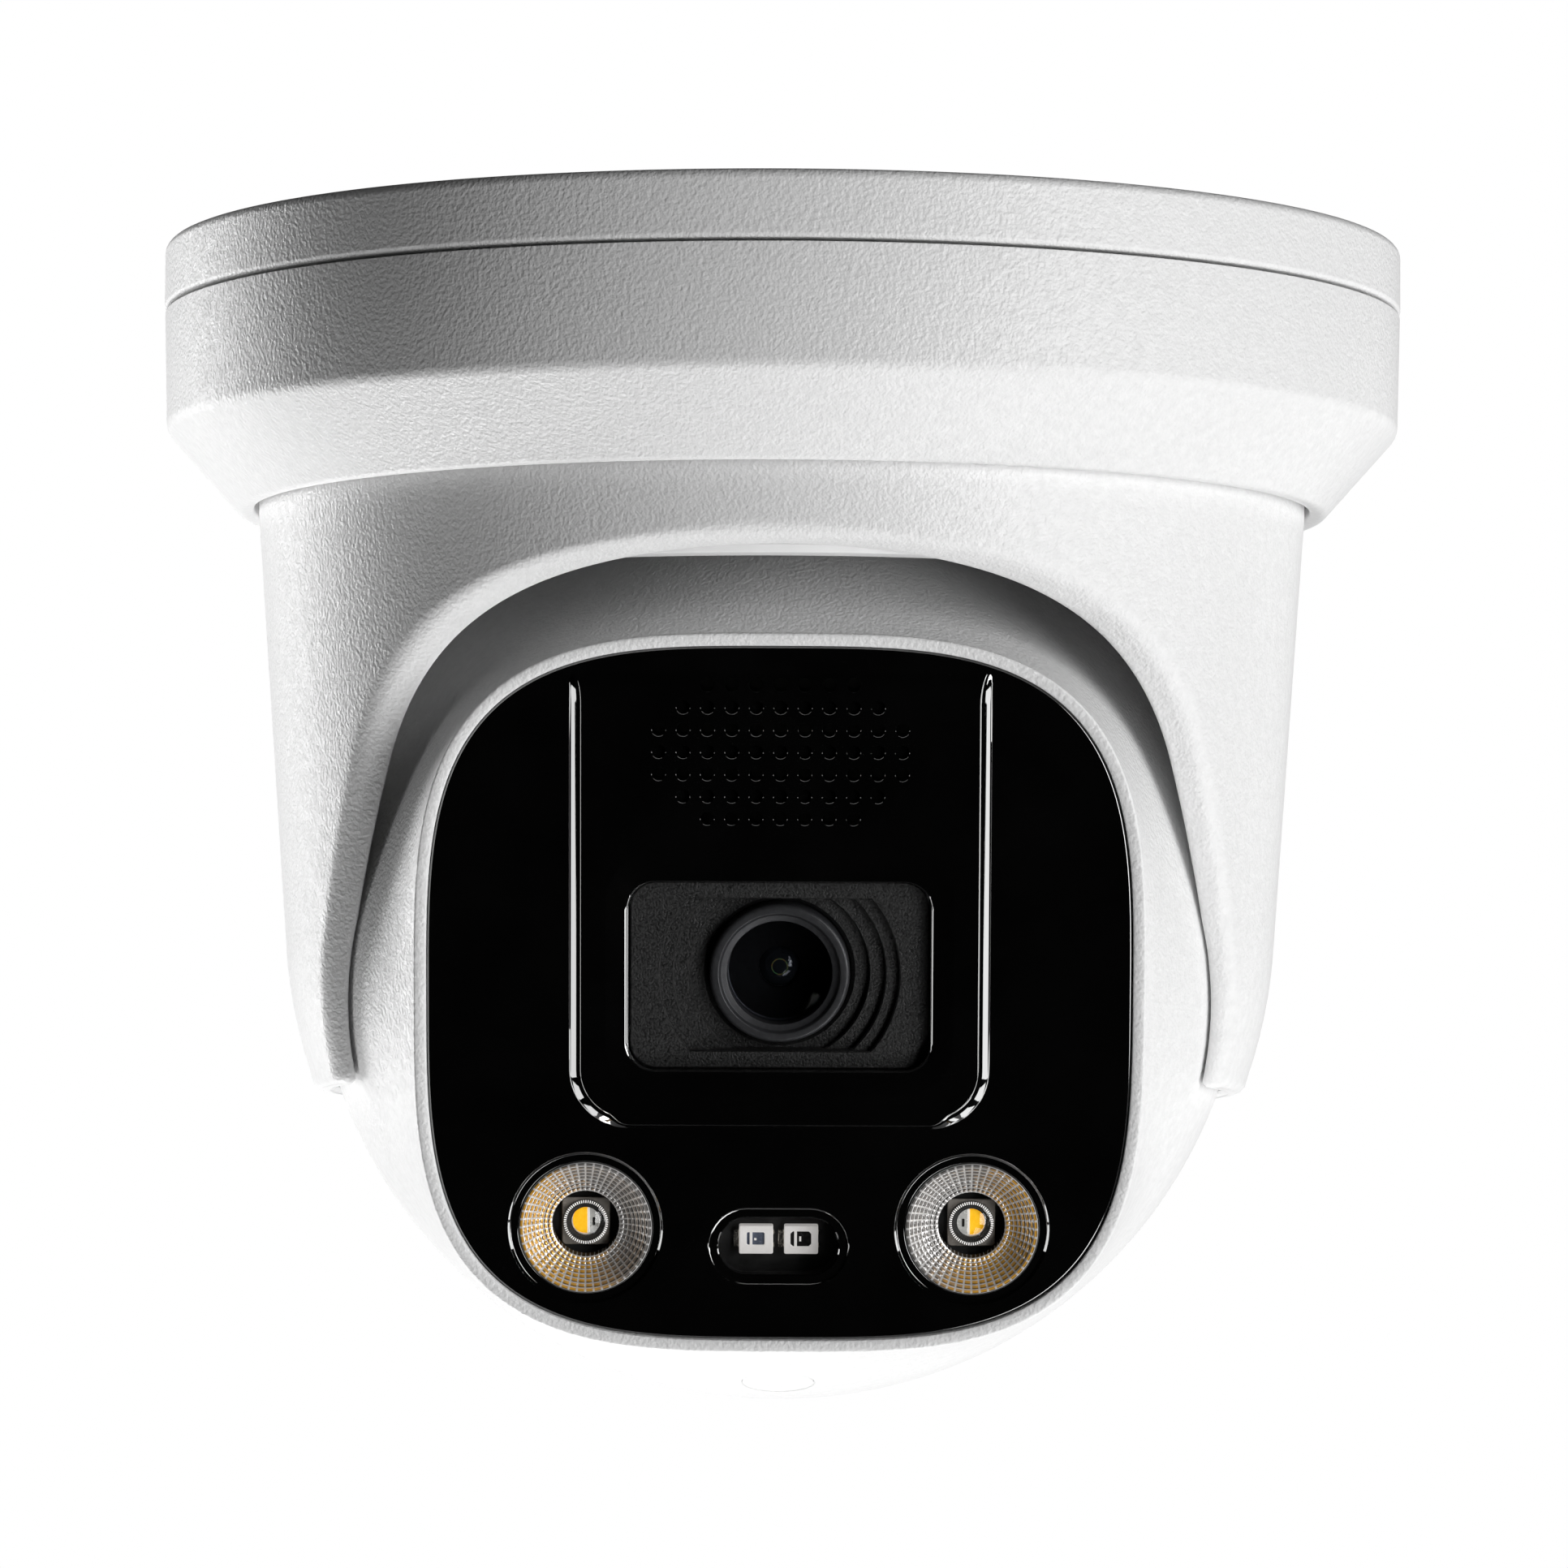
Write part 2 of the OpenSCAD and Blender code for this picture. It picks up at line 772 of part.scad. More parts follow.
module lens_bezel() {
    front = panel_w + plateau_h - recess_t - pane_t - 0.15;
    color([0.08, 0.08, 0.08])
        ball_frame()
            on_lens()
                difference() {
                    translate([0, 0, bezel_front - bezel_t])
                        linear_extrude(height = front - bezel_front + bezel_t)
                            rounded_box(window_w - 3 * fit, window_h - 3 * fit, window_round);
                    for (i = [0:2])
                        translate([0, 0, front - (i + 1) * step_h])
                            linear_extrude(height = 9)
                                intersection() {
                                    circle(step_r[i]);
                                    square([big, 2 * step_flat], center = true);
                                }
                    translate([0, 0, bezel_front - bezel_t - 1])
                        cylinder(r = barrel_r + fit, h = 9);
                }
}

module lens_barrel() {
    color([0.15, 0.15, 0.16])
        ball_frame()
            on_lens()
                rotate_extrude()
                    polygon([[0, 13], [thread_r - fit, 13], [thread_r - fit, barrel_front - barrel_flange],
                        [barrel_r, barrel_front - barrel_flange], [barrel_r, barrel_front - 0.4],
                        [barrel_r - 0.4, barrel_front], [glass_r + 0.8, barrel_front],
                        [glass_r + fit, barrel_front - 0.8], [glass_r + fit, barrel_front - 3],
                        [inner_r + 0.9, barrel_front - 4.6], [inner_r + 0.9, 17], [0, 17]]);
}

module front_lens() {
    top = barrel_front - 1.2;
    edge = asin(glass_r / glass_dome_r);
    color([0.2, 0.25, 0.3])
        ball_frame()
            on_lens()
                rotate_extrude()
                    polygon(concat(
                        [[0, barrel_front - 2.9], [glass_r, barrel_front - 2.9]],
                        arc([0, top + 1 - glass_dome_r], glass_dome_r, 90 - edge, 90, 8)));
}

module inner_lens() {
    color([0.35, 0.3, 0.25])
        ball_frame()
            on_lens()
                rotate_extrude()
                    polygon([[0, 18], [inner_r + 0.8, 18], [inner_r + 0.8, barrel_front - 4.8],
                        [inner_r * 0.6, barrel_front - 4.2], [0, barrel_front - 4]]);
}

module lens_holder() {
    color([0.12, 0.12, 0.12])
        ball_frame()
            on_lens()
                difference() {
                    translate([-holder_w / 2, -holder_h / 2, holder_low])
                        cube([holder_w, holder_h, holder_top - holder_low]);
                    translate([-holder_w / 2 + holder_wall, -holder_h / 2 + holder_wall, holder_low - 1])
                        cube([holder_w - 2 * holder_wall, holder_h - 2 * holder_wall,
                            holder_top - holder_roof - holder_low + 1]);
                    cylinder(r = thread_r, h = big / 4);
                }
}

module image_sensor() {
    color([0.25, 0.3, 0.35])
        ball_frame()
            on_lens()
                translate([-sensor_w / 2, -sensor_h / 2, holder_low])
                    cube([sensor_w, sensor_h, sensor_t]);
}

module at_spacers() {
    on_lens()
        for (x = [-1, 1], y = [-1, 1])
            translate([x * spacer_at, y * spacer_at, 0])
                children();
}

module sensor_board() {
    color("darkgreen")
        ball_frame()
            difference() {
                on_lens()
                    translate([0, 0, holder_low - board_t])
                        linear_extrude(height = board_t)
                            rounded_box(sensor_board_size, sensor_board_size, 2);
                at_spacers()
                    cylinder(d = board_screw_d + 2 * fit, h = big / 4);
            }
}

module sensor_board_screws() {
    color("silver")
        ball_frame()
            at_spacers()
                union() {
                    translate([0, 0, holder_low])
                        cylinder(d = board_head_d, h = board_head_h);
                    translate([0, 0, holder_low - board_t - 4])
                        cylinder(d = board_screw_d, h = board_t + 4.5);
                }
}

module board_spacers() {
    color("goldenrod")
        ball_frame()
            at_spacers()
                difference() {
                    translate([0, 0, main_top])
                        cylinder(r = spacer_r, h = spacer_l);
                    translate([0, 0, holder_low - board_t - 5])
                        cylinder(d = board_screw_d, h = 9);
                }
}

module main_board() {
    color("darkgreen")
        ball_frame()
            translate([0, 0, main_top - board_t])
                difference() {
                    cylinder(r = main_r, h = board_t);
                    for (x = [-1, 1], y = [-1, 1])
                        translate([x * screw_uv, y * screw_uv, -1])
                            cylinder(r = boss_r + 1, h = board_t + 2);
                    for (x = [-1, 1])
                        translate([x * post_at, 0, -1])
                            cylinder(d = board_screw_d + 2 * fit, h = board_t + 2);
                }
}

module main_board_screws() {
    color("silver")
        ball_frame()
            for (x = [-1, 1])
                translate([x * post_at, 0, main_top - board_t - board_head_h])
                    union() {
                        cylinder(d = board_head_d, h = board_head_h);
                        cylinder(d = board_screw_d - fit, h = board_head_h + board_t + 5);
                    }
}

// ---------- infrared filter ----------

module in_filter() {
    on_lens()
        translate([-filter_travel / 2, 0, filter_low])
            children();
}

module filter_frame() {
    color([0.1, 0.1, 0.1])
        ball_frame()
            in_filter()
                linear_extrude(height = filter_t)
                    difference() {
                        square([frame_w, frame_h], center = true);
                        for (x = [-1, 1])
                            translate([x * filter_travel / 2, 0])
                                square([filter_glass_w, frame_h - 2], center = true);
                    }
}

module filter_glass(side) {
    ball_frame()
        in_filter()
            translate([side * filter_travel / 2, 0, 0])
                linear_extrude(height = glass_t)
                    square([filter_glass_w - 0.02, frame_h - 2.02], center = true);
}

module infrared_filter() {
    color([0.5, 0.1, 0.15])
        filter_glass(1);
}

module clear_filter() {
    color([0.8, 0.85, 0.9])
        filter_glass(-1);
}

module filter_coil() {
    color([0.55, 0.3, 0.12])
        ball_frame()
            on_lens()
                translate([-coil_w / 2, holder_h / 2, holder_low])
                    cube([coil_w, 3, holder_top - holder_low - 2]);
}

// ---------- lights ----------

module led_outline() {
    intersection() {
        translate([-big / 2, led_board_low])
            square([big, led_board_high - led_board_low]);
        squircle(opening_half - 2);
    }
}

module led_screw_holes(d) {
    for (x = [-1, 1])
        translate([x * led_screw_u, led_screw_v])
            circle(d = d);
}

module led_board() {
    color("darkgreen")
        ball_frame()
            translate([0, 0, led_top - led_board_t])
                linear_extrude(height = led_board_t)
                    difference() {
                        led_outline();
                        led_screw_holes(board_screw_d + 2 * fit);
                    }
}

module heat_spreader() {
    color("silver")
        ball_frame()
            translate([0, 0, led_top - led_board_t - spreader_t])
                linear_extrude(height = spreader_t)
                    difference() {
                        offset(delta = -1.5)
                            led_outline();
                        led_screw_holes(board_screw_d);
                    }
}

module led_board_screws() {
    color("silver")
        ball_frame()
            for (x = [-1, 1])
                translate([x * led_screw_u, led_screw_v, led_top - led_board_t - spreader_t])
                    union() {
                        cylinder(d = board_screw_d - fit, h = spreader_t + led_board_t + 0.2);
                        translate([0, 0, spreader_t + led_board_t])
                            cylinder(d = board_head_d, h = board_head_h);
                    }
}

module light_optic(side) {
    back = led_top + led_t + 0.15;
    color([0.85, 0.85, 0.8])
        ball_frame()
            translate([side * optic_u, -optic_v, 0])
                rotate_extrude()
                    polygon(concat(
                        [[0, back], [optic_open_r, back], [optic_r, optic_front - optic_rim],
                         [optic_r, optic_front], [optic_open_r, optic_front],
                         [optic_open_r, optic_front - optic_open_t],
                         [optic_lens_r, optic_front - optic_open_t]],
                        arc([0, optic_front - optic_open_t - 2], sqrt(4 + optic_lens_r * optic_lens_r),
                            atan2(2, optic_lens_r), 90, 6)));
}

module light_optic_left() {
    light_optic(-1);
}

module light_optic_right() {
    light_optic(1);
}

module light_led(side) {
    color("khaki")
        ball_frame()
            translate([side * optic_u - led_size / 2, -optic_v - led_size / 2, led_top])
                cube([led_size, led_size, led_t]);
}

module light_led_left() {
    light_led(-1);
}

module light_led_right() {
    light_led(1);
}

module alarm_window() {
    color([0.8, 0.85, 0.9, 0.4])
        ball_frame()
            translate([0, -alarm_v, panel_w - 0.3 - pane_t])
                linear_extrude(height = pane_t)
                    rounded_box(alarm_w - fit, alarm_h - fit, alarm_h / 2 - fit);
}

module alarm_led(side) {
    color("whitesmoke")
        ball_frame()
            translate([side * alarm_led_u - alarm_led_w / 2, -alarm_v - alarm_led_h / 2, led_top])
                cube([alarm_led_w, alarm_led_h, alarm_led_t]);
}

module alarm_led_left() {
    alarm_led(-1);
}

module alarm_led_right() {
    alarm_led(1);
}

// ---------- speaker ----------

module speaker_frame() {
    color([0.2, 0.2, 0.2])
        ball_frame()
            translate([0, speaker_v, speaker_top - speaker_t])
                difference() {
                    linear_extrude(height = speaker_t)
                        rounded_box(speaker_w, speaker_h, 5);
                    translate([0, 0, speaker_t - 1.6])
                        linear_extrude(height = 3)
                            rounded_box(speaker_w - 3, speaker_h - 3, 4);
                }
}

module speaker_cone() {
    color([0.12, 0.12, 0.13])
        ball_frame()
            translate([0, speaker_v, speaker_top - 1.58])
                linear_extrude(height = 0.5)
                    rounded_box(speaker_w - 3.1, speaker_h - 3.1, 4);
}

module speaker_mesh() {
    color([0.15, 0.15, 0.15])
        ball_frame()
            translate([0, speaker_v, panel_back - mesh_t - 0.02])
                linear_extrude(height = mesh_t)
                    rounded_box(speaker_w, speaker_h, 4);
}

// ---------- service ----------

module reset_switch() {
    color("dimgray")
        ball_frame()
            plug_frame()
                translate([0, 0, switch_low])
                    cylinder(r = plug_r, h = switch_t);
}

module reset_button() {
    color("black")
        ball_frame()
            plug_frame()
                translate([0, 0, switch_low + switch_t + button_travel + 0.1])
                    cylinder(r = button_r, h = button_t);
}

module service_plug() {
    color("white")
        ball_frame()
            plug_frame()
                translate([0, 0, plug_low])
                    cylinder(r = plug_r, h = ball_r - plug_sink - plug_low);
}

mounting_base();
cable_grommet();
pan_washer();
trim_ring();
trim_set_screw();
hood_shell();
clamp_ring();
clamp_ring_screws();
friction_pad_left();
friction_pad_right();
anti_twist_ring();
front_shell();
rear_shell();
shell_seal();
shell_screws();
cable_gland();
front_panel();
panel_seal();
lens_window();
lens_bezel();
lens_barrel();
front_lens();
inner_lens();
lens_holder();
image_sensor();
sensor_board();
sensor_board_screws();
board_spacers();
main_board();
main_board_screws();
filter_frame();
infrared_filter();
clear_filter();
filter_coil();
led_board();
led_board_screws();
heat_spreader();
light_optic_left();
light_optic_right();
light_led_left();
light_led_right();
alarm_window();
alarm_led_left();
alarm_led_right();
speaker_frame();
speaker_cone();
speaker_mesh();
reset_switch();
reset_button();
service_plug();
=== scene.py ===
"""Looks of the ceiling turret camera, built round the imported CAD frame.
Sizes are millimetres until a mesh is made; MM turns them into metres."""
import json
import math
from functools import partial

import bmesh
import bpy
import numpy as np
from mathutils import Matrix, Vector


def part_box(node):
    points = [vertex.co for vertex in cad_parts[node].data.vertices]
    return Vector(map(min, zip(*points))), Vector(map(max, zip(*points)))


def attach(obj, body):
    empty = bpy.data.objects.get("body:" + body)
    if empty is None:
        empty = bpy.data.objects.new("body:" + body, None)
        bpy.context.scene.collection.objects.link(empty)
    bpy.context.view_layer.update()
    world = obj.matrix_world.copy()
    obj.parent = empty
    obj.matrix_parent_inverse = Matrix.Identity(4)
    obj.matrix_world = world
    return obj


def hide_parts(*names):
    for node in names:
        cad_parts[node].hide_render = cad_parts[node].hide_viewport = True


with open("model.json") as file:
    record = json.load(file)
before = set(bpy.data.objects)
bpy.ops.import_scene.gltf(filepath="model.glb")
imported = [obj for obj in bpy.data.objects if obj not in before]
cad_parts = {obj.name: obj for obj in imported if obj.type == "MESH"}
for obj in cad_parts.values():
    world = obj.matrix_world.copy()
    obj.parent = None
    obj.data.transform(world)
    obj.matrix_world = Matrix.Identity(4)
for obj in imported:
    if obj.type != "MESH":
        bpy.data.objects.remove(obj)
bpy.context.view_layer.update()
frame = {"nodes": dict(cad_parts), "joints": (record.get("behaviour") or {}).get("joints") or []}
MM = 0.001


# ---------- places taken from the frame ----------

def box_mm(node):
    low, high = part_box(node)
    return low / MM, high / MM


joints = {j["name"]: j for j in frame["joints"]}
drop = -joints["head_tilt"]["pos_m"][2] / MM
tilt = math.degrees(math.asin(-joints["head_roll"]["axis"][2]))
BALL = Matrix.Translation((0, 0, -drop)) @ Matrix.Rotation(math.radians(90 + tilt), 4, "X")
HERE = Matrix.Identity(4)


def on_ball(u, v):
    """The place on the lens axis's frame that is u to the right and v up."""
    return BALL @ Matrix.Translation((u, v, 0))


base_r = box_mm("mounting_base")[1].x
trim_low = box_mm("trim_ring")[0].z
trim_top = box_mm("trim_ring")[1].z
hood_bottom = box_mm("hood_shell")[0].z
flange_r = box_mm("hood_shell")[1].x
flange_top = box_mm("hood_shell")[1].z
ball_r = box_mm("rear_shell")[1].x

# Sizes of the visible parts, the same as in the CAD source
rim_h = 7.4
plate_t = 3.0
trim_side_h = 12.95
trim_slant_h = 8.0
trim_draft = 0.35
lip_round = 1.3
hood_top_r = 58.45
hood_low_r = 55.05
hood_gap = 0.55
hood_wall = 2.8
seat_gap = 0.35
pad_low = 13
pad_high = 29
pad_angle = 28
pad_at = 38
arch_r = 41.1
arch_ahead = 11.8
arm_lean = 24.3
face_w = 36.0
face_half = 39.55
rim_w = 1.4
face_power = 3.4
panel_w = 35.6
panel_back = 33.4
panel_half = face_half - rim_w
plateau_h = 0.7
lens_v = 1.9
split_w = 4.0
rear_flat = 46.0
optic_u = 20.95
optic_v = -25.8
optic_out = 6.75
optic_in = 3.72
optic_cells = 48
optic_rings = 7
alarm_v = -27.8
window_half = 16.3
window_low = -8.4
window_high = 12.4
light_hole_r = 7.3
speaker_v = 26.7
speaker_pitch_u = 2.62
speaker_pitch_v = 2.42
speaker_hole_r = 0.75
inlet_r = 11.0
screw_circle_r = 44.0
screw_r = 2.3
boss_r = 6.0
shell_t = 2.5
gland_hole_r = 6.2
well_at = 31.0
well_r = 2.4
tube_r = 3.6
window_front = panel_w + plateau_h - 0.95
board_front = panel_w - 4.6


# ---------- outlines ----------

def outline(corners, steps=6):
    """A closed outline from (x, y, radius) corners, each rounded by an arc."""
    points = []
    count = len(corners)
    for i, (x, y, radius) in enumerate(corners):
        here = Vector((x, y))
        if radius <= 0:
            points.append((x, y))
            continue
        before = (Vector(corners[i - 1][:2]) - here).normalized()
        after = (Vector(corners[(i + 1) % count][:2]) - here).normalized()
        half = before.angle(after) / 2
        centre = here + (before + after).normalized() * radius / math.sin(half)
        start = here + before * radius / math.tan(half) - centre
        sweep = start.angle_signed(here + after * radius / math.tan(half) - centre)
        for k in range(steps + 1):
            points.append(tuple(centre + Matrix.Rotation(-sweep * k / steps, 2) @ start))
    return points


def resample(points, count):
    """The closed outline again, with evenly spaced points."""
    ring = np.array(points + [points[0]], float)
    along = np.concatenate([[0], np.cumsum(np.hypot(*np.diff(ring, axis=0).T))])
    at = np.linspace(0, along[-1], count, endpoint=False)
    return list(zip(np.interp(at, along, ring[:, 0]), np.interp(at, along, ring[:, 1])))


def offset(points, distance):
    """The anticlockwise outline moved outward by a distance."""
    ring = np.array(points, float)
    side = np.roll(ring, -1, axis=0) - np.roll(ring, 1, axis=0)
    side /= np.linalg.norm(side, axis=1)[:, None]
    return list(map(tuple, ring + distance * np.stack([side[:, 1], -side[:, 0]], axis=1)))


def squircle(half, count=240):
    dense = []
    for i in range(1440):
        c, s = math.cos(math.tau * i / 1440), math.sin(math.tau * i / 1440)
        dense.append((half * math.copysign(abs(c) ** (2 / face_power), c),
                      half * math.copysign(abs(s) ** (2 / face_power), s)))
    return resample(dense, count)


def rect(u0, u1, v0, v1, radius, steps=8):
    """A rounded rectangle, anticlockwise, always with the same number of points."""
    points = []
    for cu, cv, turn in ((u1, v1, 0), (u0, v1, 90), (u0, v0, 180), (u1, v0, 270)):
        for k in range(steps + 1):
            a = math.radians(turn + 90 * k / steps)
            points.append((cu - math.copysign(radius, cu - (u0 + u1) / 2) + radius * math.cos(a),
                           cv - math.copysign(radius, cv - (v0 + v1) / 2) + radius * math.sin(a)))
    return points


def circle(radius, count=48, at=(0, 0)):
    return [(at[0] + radius * math.cos(math.tau * i / count),
             at[1] + radius * math.sin(math.tau * i / count)) for i in range(count)]


def circle_point(radius, degrees):
    return radius * math.cos(math.radians(degrees)), radius * math.sin(math.radians(degrees))


def bore_section(radius, z0, z1):
    """The section of a plain round tool from z0 to z1."""
    return [(0, z0), (radius, z0), (radius, z1), (0, z1)]


def dome(radius, reach, crown, steps):
    """The section of a ball's cap, from its edge at reach up to its crown."""
    turns = [math.asin(reach / radius) * (1 - k / steps) for k in range(steps + 1)]
    return [(radius * math.sin(a), crown - radius + radius * math.cos(a)) for a in turns]


def raised(points, z):
    return [(x, y, z) for x, y in points]


# ---------- meshes ----------

class Shape:
    """Vertices in millimetres and faces, gathered from simple parts."""

    def __init__(self):
        self.verts = []
        self.faces = []

    def add(self, verts, faces, place=HERE):
        start = len(self.verts)
        self.verts += [place @ Vector(v) for v in verts]
        self.faces += [[start + i for i in f] for f in faces]
        return self

    def loft(self, rings, place=HERE, caps=True, closed=True):
        """Joins rings of equal length, and caps the first and the last."""
        n = len(rings[0])
        verts = [p for ring in rings for p in ring]
        faces = []
        for j in range(len(rings) - 1):
            for i in range(n if closed else n - 1):
                k = (i + 1) % n
                faces.append([j * n + i, j * n + k, (j + 1) * n + k, (j + 1) * n + i])
        if caps:
            faces.append(list(range(n))[::-1])
            faces.append([(len(rings) - 1) * n + i for i in range(n)])
        return self.add(verts, faces, place)

    def stack(self, layers, place=HERE, caps=True):
        """Joins (outline, height) layers."""
        return self.loft([raised(points, z) for points, z in layers], place, caps)

    def turned(self, points, place=HERE, steps=96, closed=True):
        """The closed (radius, height) outline turned about Z."""
        rings = []
        for j in range(steps):
            a = math.tau * j / steps
            rings.append([(r * math.cos(a), r * math.sin(a), z) for r, z in points])
        rings.append(rings[0])
        return self.loft(rings, place, caps=False, closed=closed)

    def sector(self, r_out, r_in, z0, z1, mid, half, steps=16):
        rings = []
        for j in range(steps + 1):
            a = math.radians(mid - half + 2 * half * j / steps)
            rings.append([(r * math.cos(a), r * math.sin(a), z)
                          for r, z in ((r_in, z0), (r_out, z0), (r_out, z1), (r_in, z1))])
        return self.loft(rings)

    def object(self, name, sharp=35):
        mesh = bpy.data.meshes.new(name)
        mesh.from_pydata([v * MM for v in self.verts], [], self.faces)
        bm = bmesh.new()
        bm.from_mesh(mesh)
        bmesh.ops.remove_doubles(bm, verts=bm.verts, dist=2e-6)
        bmesh.ops.dissolve_degenerate(bm, edges=bm.edges, dist=1e-7)
        bmesh.ops.recalc_face_normals(bm, faces=bm.faces)
        bm.to_mesh(mesh)
        bm.free()
        mesh.shade_smooth()
        mesh.set_sharp_from_angle(angle=math.radians(sharp))
        made = bpy.data.objects.new(name, mesh)
        bpy.context.scene.collection.objects.link(made)
        return made


def combine(target, tool, operation="DIFFERENCE", sharp=35):
    """Cuts a tool out of a piece, or joins it on, and deletes the tool."""
    boolean = target.modifiers.new("boolean", "BOOLEAN")
    boolean.operation = operation
    boolean.solver = "EXACT"
    boolean.object = tool
    graph = bpy.context.evaluated_depsgraph_get()
    mesh = bpy.data.meshes.new_from_object(target.evaluated_get(graph))
    target.modifiers.clear()
    target.data = mesh
    mesh.shade_smooth()
    mesh.set_sharp_from_angle(angle=math.radians(sharp))
    bpy.data.objects.remove(tool)
    return target


def piece(made, body, material, slot, *nodes, flat=False):
    """Gives a finished mesh its material and its body, and hides the CAD nodes that it stands for."""
    made.data.materials.clear()
    for m in material if isinstance(material, (list, tuple)) else [material]:
        made.data.materials.append(m)
    if flat:
        normals = made.modifiers.new("weighted", "WEIGHTED_NORMAL")
        normals.keep_sharp = True
        normals.weight = 100
    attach(made, body)
    if nodes:
        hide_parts(*nodes)
    return made


# ---------- materials ----------

def shader(name):
    material = bpy.data.materials.new(name)
    material.use_nodes = True
    return material, material.node_tree


def noise(tree, size, detail=2.0, rough=0.5, stretch=None):
    """A noise texture whose grains are about size millimetres across."""
    where = tree.nodes.new("ShaderNodeTexCoord")
    texture = tree.nodes.new("ShaderNodeTexNoise")
    texture.inputs["Scale"].default_value = 1 / (size * MM)
    texture.inputs["Detail"].default_value = detail
    texture.inputs["Roughness"].default_value = rough
    if stretch:
        mapping = tree.nodes.new("ShaderNodeMapping")
        mapping.inputs["Scale"].default_value = stretch
        tree.links.new(where.outputs["Object"], mapping.inputs["Vector"])
        tree.links.new(mapping.outputs["Vector"], texture.inputs["Vector"])
    else:
        tree.links.new(where.outputs["Object"], texture.inputs["Vector"])
    return texture.outputs["Fac"]


def spread(tree, value, low, high):
    """Maps the middle of a noise's range to low..high."""
    ranged = tree.nodes.new("ShaderNodeMapRange")
    ranged.inputs["From Min"].default_value = 0.3
    ranged.inputs["From Max"].default_value = 0.7
    ranged.inputs["To Min"].default_value = low
    ranged.inputs["To Max"].default_value = high
    tree.links.new(value, ranged.inputs["Value"])
    return ranged.outputs["Result"]


def finish(name, colour, other, rough, grain, grit=None, metal=0.0, detail=2.0, stretch=None, **sockets):
    """A Principled surface whose colour and roughness vary with one noise and whose bump comes from another.
    Colours may be one grey number. rough is (lowest, highest), grain is the size of the patches, and
    grit is the bump's (depth, size), all three sizes in millimetres."""
    material, tree = shader(name)
    nodes, links = tree.nodes, tree.links
    colour, other = [(c, c, c) if isinstance(c, float) else c for c in (colour, other)]
    surface = nodes["Principled BSDF"]
    patches = noise(tree, grain, 3.0, stretch=stretch)
    mix = nodes.new("ShaderNodeMix")
    mix.data_type = "RGBA"
    mix.inputs[6].default_value = (*colour, 1)
    mix.inputs[7].default_value = (*other, 1)
    links.new(spread(tree, patches, 0, 1), mix.inputs[0])
    links.new(mix.outputs[2], surface.inputs["Base Color"])
    links.new(spread(tree, patches, *rough), surface.inputs["Roughness"])
    surface.inputs["Metallic"].default_value = metal
    for socket, value in sockets.items():
        surface.inputs[socket.replace("_", " ")].default_value = value
    if grit:
        depth, size = grit
        height = noise(tree, size, detail, stretch=stretch)
        relief = nodes.new("ShaderNodeBump")
        relief.inputs["Strength"].default_value = 1.0
        relief.inputs["Distance"].default_value = depth * MM
        links.new(height, relief.inputs["Height"])
        links.new(relief.outputs["Normal"], surface.inputs["Normal"])
    return material


def clear(name, tint, rough=0.02, gloss=1.0, ior=1.5):
    """Thin clear plastic or glass: see-through head on, with a mirror gloss that grows towards the edges."""
    material, tree = shader(name)
    nodes, links = tree.nodes, tree.links
    nodes.remove(nodes["Principled BSDF"])
    through = nodes.new("ShaderNodeBsdfTransparent")
    through.inputs["Color"].default_value = (*tint, 1)
    mirror = nodes.new("ShaderNodeBsdfGlossy")
    mirror.inputs["Color"].default_value = (gloss, gloss, gloss, 1)
    smear = spread(tree, noise(tree, 6.0, 3.0), rough, rough * 1.6)
    links.new(smear, mirror.inputs["Roughness"])
    edge = nodes.new("ShaderNodeFresnel")
    edge.inputs["IOR"].default_value = ior
    side = nodes.new("ShaderNodeNewGeometry")
    entering = nodes.new("ShaderNodeMath")
    entering.operation = "SUBTRACT"
    entering.inputs[0].default_value = 1
    links.new(side.outputs["Backfacing"], entering.inputs[1])
    share = nodes.new("ShaderNodeMath")
    share.operation = "MULTIPLY"
    links.new(edge.outputs["Fac"], share.inputs[0])
    links.new(entering.outputs[0], share.inputs[1])
    mix = nodes.new("ShaderNodeMixShader")
    links.new(share.outputs[0], mix.inputs["Fac"])
    links.new(through.outputs["BSDF"], mix.inputs[1])
    links.new(mirror.outputs["BSDF"], mix.inputs[2])
    links.new(mix.outputs["Shader"], nodes["Material Output"].inputs["Surface"])
    return material


powder = finish("powder_coat", 0.86, 0.80, (0.40, 0.52), 1.1, (0.115, 0.45), detail=1.2)
smooth_white = finish("smooth_white", 0.84, 0.80, (0.35, 0.45), 4.0, (0.004, 0.5))
panel_black = finish("gloss_black", 0.0015, 0.0025, (0.02, 0.04), 9.0, (0.0008, 6.0), IOR=2.6,
                     Coat_Weight=1.0, Coat_Roughness=0.02)
bezel_black = finish("matte_black", 0.006, 0.042, (0.30, 0.60), 0.24, (0.09, 0.24))
plain_black = finish("plain_black", 0.006, 0.010, (0.45, 0.65), 0.8, (0.01, 0.3))
barrel_black = finish("barrel_black", (0.055, 0.056, 0.060), (0.068, 0.069, 0.074), (0.34, 0.46), 0.5,
                      (0.006, 0.15), metal=0.4)
pit_black = finish("baffle_black", (0.0008, 0.0008, 0.0009), 0.002, (0.6, 0.8), 0.6, (0.01, 0.3),
                   Specular_IOR_Level=0.1)
rubber = finish("rubber", (0.020, 0.020, 0.021), 0.032, (0.65, 0.85), 0.8, (0.02, 0.3))
grey_plastic = finish("grey_plastic", (0.16, 0.16, 0.165), (0.20, 0.20, 0.205), (0.4, 0.55), 1.2,
                      (0.012, 0.3))
steel = finish("steel", (0.52, 0.52, 0.53), 0.62, (0.22, 0.4), 0.4, (0.005, 0.15), metal=1.0)
